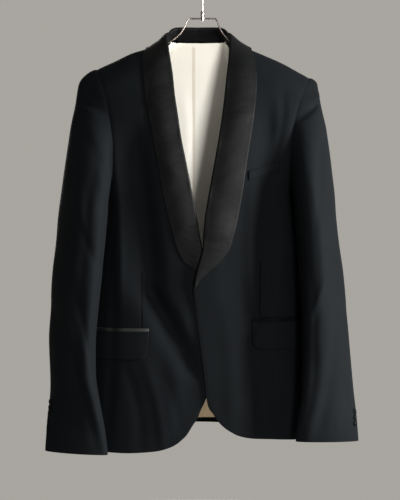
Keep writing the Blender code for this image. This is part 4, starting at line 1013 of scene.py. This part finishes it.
def make_sleeve(kind, side, turns, wool, on=()):
    turns = shares_between(turns, TUBE_STEPS.across)[None]
    cap_parts = shares_between(CAP_SHARES, CAP_STEPS)
    tube_parts = np.linspace(0, 1, TUBE_ROWS * TUBE_STEPS.down + 1)[1:]
    part = np.concatenate((cap_parts, tube_parts))[:, None] + 0 * turns
    cap = np.broadcast_to((np.arange(len(part)) < len(cap_parts))[:, None], part.shape)
    turn = turns + 0 * part
    points = sleeve_point(side, turn, part, cap)
    round_way = sleeve_point(side, turn + 1, part, cap) - sleeve_point(side, turn - 1, part, cap)
    down = np.gradient(points, axis=0)
    ways = unit(np.cross(round_way, down))
    middle = sleeve_centre(side, points[..., 2]) - CENTRE_DROP
    ways *= np.where((ways * (points - middle)).sum(-1) > 0, 1, -1)[..., None]
    x, top = armhole(side, turns[0] % 360)
    body_way = skin_way(turns[0] % 360 < 180, side, x, top)
    for row in range(CAP_STEPS):
        own = mix(float(row > 0), row / CAP_STEPS, underarm(turns[0]))[:, None]
        ways[row] = unit(mix(body_way, ways[row], own))
    name = f"{kind}_{side}"
    points = inset(points, EDGE_GAP)
    return cloth("wool_" + name, points, ways, WOOL, wool, [name], TURN_IN, (0,), on)


def upper_turns():
    before = [turn - 360 for turn in ARM_TURNS if BACK_SLEEVE_SEAM <= turn < 360]
    return before + [turn for turn in ARM_TURNS if turn <= FRONT_SLEEVE_SEAM]


def under_turns():
    return [turn for turn in ARM_TURNS if FRONT_SLEEVE_SEAM <= turn <= BACK_SLEEVE_SEAM]


# ================================================================ lining
def make_lining(side, ivory):
    """The lining's right half laps the left one at the centre pleat."""
    plan = fine_patch(lining_edges(side), *LINING_STEPS)
    x, z = plan[..., 0], plan[..., 1]
    near = 1 - smooth(np.abs(x - CENTRE_X) / 30)
    depth = WOOL + LINING_LAP + 0 * x
    if side == "right":
        x = x - PLEAT * near
        depth = depth + PLEAT_STEP * smooth(1.6 * near)
    ways = np.where((near > 0.5)[..., None] & (x < CENTRE_X)[..., None],
                    skin_way(False, "left", x, z), skin_way(False, side, x, z))
    points = skin(False, side, x, z) - ways * depth[..., None]
    return cloth("ivory_lining_" + side, inset(points, LINING_INSET), ways, LINING, ivory,
                 ["back_lining_" + side])


# ================================================================ pockets and welt
def hip_angles(side, start_x, z, lengths):
    """Angles round the body at the given lengths from a point of the front."""
    start = ring_angle(side, start_x, z)
    angles = np.arange(start, *HIP_WALK)
    points = skin(angles > 0, side, ring_x(side, angles, z), z)
    walked = np.concatenate(([0], np.cumsum(np.linalg.norm(np.diff(points, axis=0), axis=1))))
    return np.interp(lengths, walked, angles)


def pocket_grid(side, top, drop, heights, bulge, off):
    """Outer points and directions of a piece on the hip."""
    start_x, start_z = POCKETS[side]
    lengths = shares_between(POCKET_SHARES, POCKET_STEPS) * FLAP_LENGTH
    angle = hip_angles(side, start_x, start_z, lengths)[None]
    share = np.linspace(0, 1, heights)[:, None]
    z = start_z + POCKET_RISE[side] * lengths / FLAP_LENGTH + top - drop(lengths) * share
    x = ring_x(side, np.abs(angle), z)
    ways = skin_way(angle > 0, side, x, z)
    height = off + bulge(share, lengths[None])
    return skin(angle > 0, side, x, z) + ways * height[..., None], ways


def flap_drop(lengths):
    """The flap's height at distances from its front end: its lower corners are round."""
    inside = np.minimum(np.minimum(lengths, FLAP_LENGTH - lengths), FLAP_CORNER)
    return FLAP_DROP - FLAP_CORNER + np.sqrt(FLAP_CORNER ** 2 - (FLAP_CORNER - inside) ** 2)


def make_pocket(side, wool, satin):
    def belly(share, lengths):
        return FLAP_BELLY * np.sin(np.pi * share) ** 0.8 * np.sin(np.pi * lengths / FLAP_LENGTH) ** 0.4

    def roll(share, lengths):
        return JET_ROLL[side] * np.sqrt(np.maximum(1 - (2 * share - 1) ** 2, 0)) + 0 * lengths

    points, ways = pocket_grid(side, -SEAM, flap_drop, FLAP_ROWS, belly, LAP + FLAP)
    flap = cloth("wool_flap_" + side, points, ways, FLAP, wool, ["pocket_flap_" + side], small=True)
    points, ways = pocket_grid(side, JET_HEIGHT, lambda lengths: JET_HEIGHT, JET_ROWS, roll, LAP + JET)
    jet = cloth("satin_jet_" + side, points, ways, JET, satin, ["pocket_jet_" + side], small=True)
    return [flap, jet]


def make_welt(wool):
    share = np.linspace(0, 1, WELT_GRID[0])[:, None]
    along_it = np.linspace(0, 1, WELT_GRID[1])[None]
    start, end = WELT_ENDS
    x = mix(start.x, end.x, along_it) + 0 * share
    z = mix(start.z, end.z, along_it) - WELT_HEIGHT * share
    ways = skin_way(True, "right", x, z)
    height = COLLAR_LAP + WOOL + WELT_BELLY * np.sin(np.pi * share) - WELT_BELLY * share
    points = skin(True, "right", x, z) + ways * (height + 0 * x)[..., None]
    return cloth("wool_welt", points, ways, WOOL, wool, ["breast_welt"], small=True)


# ================================================================ hard pieces
def place(piece, name, material, nodes, angle=40):
    """Puts a piece's place into its mesh, shades it and sets it on the body."""
    select_only(piece)
    piece.name = name
    piece.data.name = name
    bpy.ops.object.transform_apply(location=True, rotation=True, scale=True)
    bpy.ops.object.shade_smooth_by_angle(angle=math.radians(angle))
    piece.data.materials.clear()
    piece.data.materials.append(material)
    return stand_for(piece, name, nodes)


def button_blank():
    """A covered button: a low dome over a flatter back."""
    bpy.ops.object.select_all(action="DESELECT")
    bpy.ops.mesh.primitive_uv_sphere_add(segments=32, ring_count=18, radius=BUTTON_RADIUS * MM)
    blank = bpy.context.object
    bpy.ops.object.mode_set(mode="EDIT")
    bpy.ops.mesh.select_all(action="SELECT")
    bpy.ops.transform.resize(value=(1, 1, BUTTON_DOME), center_override=(0, 0, 0))
    bpy.ops.object.mode_set(mode="OBJECT")
    for vertex in blank.data.vertices:
        vertex.select = vertex.co.z < -1e-5
    for edge in blank.data.edges:
        edge.select = False
    for face in blank.data.polygons:
        face.select = all(blank.data.vertices[i].co.z < 1e-5 for i in face.vertices)
    bpy.ops.object.mode_set(mode="EDIT")
    bpy.ops.transform.resize(value=(1, 1, BUTTON_BACK), center_override=(0, 0, 0))
    bpy.ops.object.mode_set(mode="OBJECT")
    return blank


def make_buttons(satin):
    blank = button_blank()
    made = {"left": [], "right": []}
    for side in ("left", "right"):
        for number in (1, 2, 3):
            z = LOWEST_BUTTON[side] + BUTTON_PITCH * (number - 1)
            turn = BUTTON_TURN[side]
            base = tube_point(side, turn, z)
            up = unit(tube_point(side, turn, z + 2.0) - tube_point(side, turn, z - 2.0))
            way = unit(np.cross(tube_point(side, turn + 2.0, z) - tube_point(side, turn - 2.0, z), up))
            way = way if way @ (base - sleeve_centre(side, z)) > 0 else -way
            seat = base + way * (BUTTON_GAP[side] + BUTTON_DEPTH * BUTTON_MIDDLE)
            button = add("button", blank.data.copy())
            turned = Matrix([np.cross(up, way), up, way]).transposed().to_4x4()
            button.data.transform(Matrix.Translation(Vector(seat) * MM) @ turned)
            node = f"sleeve_button_{side}_{number}"
            made[side].append(place(button, f"satin_button_{side}_{number}", satin, [node]))
    bpy.data.objects.remove(blank)
    return made


def wire(name, path, chrome, nodes):
    """A round wire bent through a path, with flat filled ends."""
    line = bpy.data.curves.new(name, "CURVE")
    line.dimensions = "3D"
    line.bevel_depth = WIRE * MM
    line.bevel_resolution = 5
    line.use_fill_caps = True
    spline = line.splines.new("POLY")
    path = np.asarray(path, float)
    spline.points.add(len(path) - 1)
    for point, (x, y, z) in zip(spline.points, path * MM):
        point.co = (x, y, z, 1)
    select_only(add(name, line))
    bpy.ops.object.convert(target="MESH")
    return place(bpy.context.object, name, chrome, nodes)


def make_hanger(chrome):
    stem = list(HOOK_STEM)
    for i in range(HOOK_STEPS + 1):
        a = math.radians(mix(*HOOK_ARCH, i / HOOK_STEPS))
        stem.append((math.cos(a) * HOOK_RADIUS, WIRE - HOOK_RADIUS + math.sin(a) * HOOK_RADIUS))
    stem.append((stem[-1][0] + HOOK_TIP[0], stem[-1][1] + HOOK_TIP[1]))
    fine = finer(stem, HOOK_FINER)
    wire("chrome_hook", stack(fine[:, 0], 0, fine[:, 1]), chrome, ["hanger_hook"])
    arms = [along(arm, np.linspace(0, 1, ARM_POINTS)) for arm in (LEFT_ARM, RIGHT_ARM)]
    bar = np.array([(x, BAR_Z) for x in np.linspace(-BAR_REACH, BAR_REACH, BAR_POINTS)])
    fine = np.concatenate((arms[0][::-1], bar, arms[1]))
    under = shoulder_z(fine[:, 0]) - WIRE - WOOL - TURN_IN - DITCH.depth - ARM_GAP
    hidden = smooth((np.abs(fine[:, 0] - CENTRE_X) - NECK_REACH) / NECK_EASE)
    fine[:, 1] = mix(fine[:, 1], np.minimum(fine[:, 1], under), hidden)
    wire("chrome_frame", stack(fine[:, 0], 0, fine[:, 1]), chrome, ["hanger_frame"])
    bpy.ops.object.select_all(action="DESELECT")
    middle = (FERRULE_TOP + FERRULE_FOOT) / 2 * MM
    length = (FERRULE_TOP - FERRULE_FOOT) * MM
    bpy.ops.mesh.primitive_cylinder_add(
        vertices=40, radius=FERRULE_RADIUS * MM, depth=length, location=(0, 0, middle)
    )
    ferrule = bpy.context.object
    bpy.ops.object.mode_set(mode="EDIT")
    bpy.ops.mesh.select_all(action="SELECT")
    bpy.ops.mesh.bevel(offset=FERRULE_ROUND * MM, segments=4, affect="EDGES")
    bpy.ops.object.mode_set(mode="OBJECT")
    for face in ferrule.data.polygons:
        face.select = face.normal.z > 0.99 and len(face.vertices) > 8
    for edge in ferrule.data.edges:
        edge.select = False
    bpy.ops.object.mode_set(mode="EDIT")
    bpy.ops.mesh.inset(thickness=(FERRULE_RADIUS - FERRULE_ROUND - WIRE - SEAM) * MM, depth=0)
    sunk = (HOOK_FOOT - SEAM - FERRULE_TOP) * MM
    bpy.ops.mesh.extrude_region_move(TRANSFORM_OT_translate={"value": (0, 0, sunk)})
    bpy.ops.object.mode_set(mode="OBJECT")
    place(ferrule, "chrome_ferrule", chrome, ["hanger_ferrule"])


# ================================================================ finishes
class Value:
    """A shader socket that Python's operators work on."""

    def __init__(self, nodes, socket):
        self.nodes = nodes
        self.socket = socket

    def maths(self, operation, *others, first=None):
        ends = [self if first is None else first, *others]
        return self.nodes.make("ShaderNodeMath", {"operation": operation}, dict(enumerate(ends)))

    def __add__(self, other):
        return self.maths("ADD", other)

    def __sub__(self, other):
        return self.maths("SUBTRACT", other)

    def __mul__(self, other):
        return self.maths("MULTIPLY", other)

    def __truediv__(self, other):
        return self.maths("DIVIDE", other)

    def __pow__(self, other):
        return self.maths("POWER", other)

    def __rsub__(self, other):
        return self.maths("SUBTRACT", self, first=other)

    __radd__ = __add__
    __rmul__ = __mul__


class Finish:
    """A material and the nodes that feed its shader."""

    def __init__(self, name, constants):
        self.material = bpy.data.materials.new(name)
        self.material.use_nodes = True
        self.tree = self.material.node_tree
        self.shader = self.tree.nodes["Principled BSDF"]
        for socket, value in constants.items():
            self.shader.inputs[socket].default_value = value

    def make(self, kind, settings, values, out=0):
        node = self.tree.nodes.new(kind)
        for name, value in settings.items():
            setattr(node, name, value)
        for socket, value in values.items():
            self.put(node.inputs[socket], value)
        return Value(self, node.outputs[out])

    def put(self, socket, value):
        if isinstance(value, Value):
            self.tree.links.new(value.socket, socket)
        else:
            socket.default_value = value

    def feed(self, socket, value):
        self.put(self.shader.inputs[socket], value)

    def cloth_map(self):
        """Distances across and along the cloth, in metres, as one vector."""
        return self.make("ShaderNodeUVMap", {"uv_map": "cloth"}, {})

    def spot(self):
        """The place on the object, in metres, as one vector."""
        return self.make("ShaderNodeTexCoord", {}, {}, "Object")

    def parts(self, vector):
        """A vector's x, y and z."""
        node = self.make("ShaderNodeSeparateXYZ", {}, {0: vector}).socket.node
        return [Value(self, socket) for socket in node.outputs]

    def noise(self, vector, scale, detail=3, roughness=0.55):
        values = {"Vector": vector, "Scale": scale, "Detail": detail, "Roughness": roughness}
        return self.make("ShaderNodeTexNoise", {}, values)

    def stretched(self, vector, scale):
        return self.make("ShaderNodeMapping", {}, {"Vector": vector, "Scale": scale})

    def blend(self, share, a, b):
        values = {0: share, 6: a, 7: b}
        return self.make("ShaderNodeMix", {"data_type": "RGBA"}, values, 2)

    def bump(self, height, strength, distance):
        values = {"Height": height, "Strength": strength, "Distance": distance}
        self.feed("Normal", self.make("ShaderNodeBump", {}, values))

    def wave(self, value, pitch):
        """0 to 1 and back once each pitch."""
        return (value * (2 * math.pi / pitch)).maths("SINE") * 0.5 + 0.5

    def rise(self, value, start, end):
        """0 at one value and 1 from another on."""
        return ((value - start) / (end - start)).maths("MAXIMUM", 0.0).maths("MINIMUM", 1.0)

    def line(self, x, z, start, end, width):
        """1 on a straight line between two points of the front, fading to 0 over a width."""
        (ax, az), (bx, bz) = start, end
        length = math.hypot(bx - ax, bz - az)
        ux, uz = (bx - ax) / length, (bz - az) / length
        run = ((x - ax) * ux + (z - az) * uz).maths("MAXIMUM", 0.0).maths("MINIMUM", length)
        off_x = x - (run * ux + ax)
        off_z = z - (run * uz + az)
        distance = (off_x * off_x + off_z * off_z).maths("SQRT")
        return (1 - distance / width).maths("MAXIMUM", 0.0)


def rgba(colour):
    return (*colour, 1.0)


def wool_finish(name="black_wool", shaded_seams=()):
    look = Finish(name, {"Sheen Weight": 0.004, "Sheen Roughness": 0.4,
                         "Sheen Tint": (0.9, 0.95, 1.0, 1), "Specular IOR Level": 0.02})
    spread, spot = look.cloth_map(), look.spot()
    u, v = look.parts(spread)[:2]
    x, z = look.parts(spot)[::2]
    twill = look.wave(u + v * TWILL_SLOPE, TWILL_PITCH)
    yarn = look.wave(u, WOOL_YARN[0]) * look.wave(v, WOOL_YARN[1])
    nap = look.noise(look.stretched(spread, (1, 0.35, 1)), 900, 3)
    cloud = look.noise(spot, 9, 4)
    streak = look.noise(look.stretched(spread, (60, 3.5, 1)), 1.0, 3)
    tone = cloud * 0.5 + streak * 0.3 + nap * 0.2
    colour = look.blend(tone, rgba(WOOL_DEEP), rgba(WOOL_LIGHT))
    height = twill * 0.5 + yarn * 0.3 + nap * 0.6
    # painted shade: the wool is darkened along each dart and vent seam, over a groove in the bump
    for start, end in shaded_seams:
        seam = look.line(x, z, [c * MM for c in start], [c * MM for c in end], SEAM_SHADE_WIDTH)
        colour = look.blend(seam * 0.75, colour, rgba(WOOL_SEAM_SHADE))
        height = height - seam * 6.0
    look.feed("Base Color", colour)
    look.feed("Roughness", nap * 0.18 + 0.66)
    look.bump(height, 0.5, 0.00016)
    return look.material


def satin_finish(name="black_satin", shine=0.055):
    look = Finish(name, {"Sheen Weight": 0.004, "Sheen Roughness": 0.3, "Specular IOR Level": shine})
    spread, spot = look.cloth_map(), look.spot()
    thread = look.wave(look.parts(spread)[1], SATIN_YARN)
    slub = look.noise(look.stretched(spread, (30, 260, 1)), 1.0, 3)
    cloud = look.noise(spot, 22, 3)
    crinkle = look.noise(look.stretched(spot, (26, 26, 60)), 1.0, 2)
    colour = look.blend(cloud * 0.6 + slub * 0.4, rgba(SATIN_DEEP), rgba(SATIN_LIGHT))
    look.feed("Base Color", colour)
    look.feed("Roughness", slub * 0.12 + cloud * 0.12 + 0.4)
    look.bump(thread * 0.12 + slub * 0.5 + crinkle * 5.0, 0.4, 0.0006)
    return look.material


def lining_finish():
    look = Finish("ivory_lining", {"Sheen Weight": 0.15, "Sheen Roughness": 0.35,
                                   "Specular IOR Level": 0.5})
    spread, spot = look.cloth_map(), look.spot()
    x, z = look.parts(spot)[::2]
    threads = [look.wave(way, pitch) for way, pitch in zip(look.parts(spread), LINING_YARN)]
    wrinkle = look.noise(look.stretched(spot, (14, 14, 4)), 1.0, 3)
    age = look.noise(spot, 6, 3)
    colour = look.blend(age, rgba(IVORY_LIGHT), rgba(IVORY_DEEP))
    # painted shade: the lining turns tan towards the hem
    colour = look.blend(look.rise(z, *HEM_SHADE_FADE), colour, rgba(HEM_SHADE_TAN))
    # painted shade: a tan line along the pleat
    fold = look.line(x, z, *PLEAT_SHADE_LINE, PLEAT_SHADE_WIDTH)
    look.feed("Base Color", look.blend(fold * 0.6, colour, rgba(PLEAT_SHADE_TAN)))
    look.feed("Roughness", wrinkle * 0.15 + 0.34)
    look.bump(threads[0] * threads[1] * 0.2 + wrinkle * 4.0, 0.35, 0.0005)
    return look.material


def chrome_finish():
    look = Finish("chromed_wire", {"Metallic": 1.0})
    spot = look.spot()
    wear = look.noise(spot, 160, 4)
    look.feed("Base Color", look.blend(wear, rgba(CHROME_DARK), rgba(CHROME_LIGHT)))
    look.feed("Roughness", wear * 0.15 + 0.16)
    look.bump(look.noise(spot, 900, 2), 0.15, 0.0001)
    return look.material


def floor_finish():
    look = Finish("pale_floor", {"Roughness": 0.9})
    mottle = look.noise(look.spot(), 3, 3)
    look.feed("Base Color", look.blend(mottle, rgba(FLOOR_DARK), rgba(FLOOR_LIGHT)))
    return look.material


# ================================================================ studio
def make_stage():
    bpy.ops.object.select_all(action="DESELECT")
    bpy.ops.mesh.primitive_circle_add(vertices=96, radius=FLOOR_RADIUS, fill_type="NGON",
                                      location=(0, 0, FLOOR_Z))
    floor = bpy.context.object
    floor.name = "floor"
    floor.data.materials.append(floor_finish())


def light(name, spot, aim, energy, size, colour):
    lamp = bpy.data.lights.new(name, "AREA")
    lamp.energy = energy
    lamp.color = colour
    lamp.shape = "RECTANGLE"
    lamp.size, lamp.size_y = size
    holder = add(name, lamp)
    holder.location = spot
    holder.rotation_euler = (Vector(aim) - Vector(spot)).to_track_quat("-Z", "Y").to_euler()


def make_studio():
    world = bpy.data.worlds.new("studio")
    bpy.context.scene.world = world
    world.use_nodes = True
    backdrop = world.node_tree.nodes["Background"]
    backdrop.inputs["Color"].default_value, backdrop.inputs["Strength"].default_value = WORLD
    for name, spot, energy, size, colour in LAMPS:
        light(name, spot, LIGHT_AIM, energy, size, colour)
    bpy.context.scene.view_settings.view_transform = "Standard"


def make_camera():
    lens = bpy.data.cameras.new("camera")
    lens.sensor_fit = "HORIZONTAL"
    lens.sensor_width = SENSOR_WIDTH
    lens.lens = SENSOR_WIDTH * CAMERA_DISTANCE / (PHOTO_WIDTH * PIXEL)
    holder = add("camera", lens)
    holder.location = (CAMERA_X, -CAMERA_DISTANCE, CAMERA_Z)
    holder.rotation_euler = (math.radians(90), 0, 0)
    bpy.context.scene.camera = holder


# ================================================================ the whole
def main():
    wool = wool_finish()
    satin = satin_finish()
    ivory = lining_finish()
    chrome = chrome_finish()
    buttons = make_buttons(satin_finish("covered_button", 0.02))
    for side in ("left", "right"):
        on = make_pocket(side, wool, satin_finish("jet_satin_" + side, JET_SHINE[side]))
        if side == "right":
            on.append(make_welt(wool))
        make_front(side, wool_finish("black_wool_front_" + side, DARTS[side]), on)
        make_back(side, wool)
        make_side(side, wool)
        upper_wool = wool_finish("black_wool_sleeve_" + side, CUFF_VENTS[side])
        make_sleeve("upper_sleeve", side, upper_turns(), upper_wool, buttons[side])
        make_sleeve("under_sleeve", side, under_turns(), wool)
        make_collar(side, satin)
        make_lining(side, ivory)
    make_hanger(chrome)
    make_stage()
    make_studio()
    make_camera()


main()
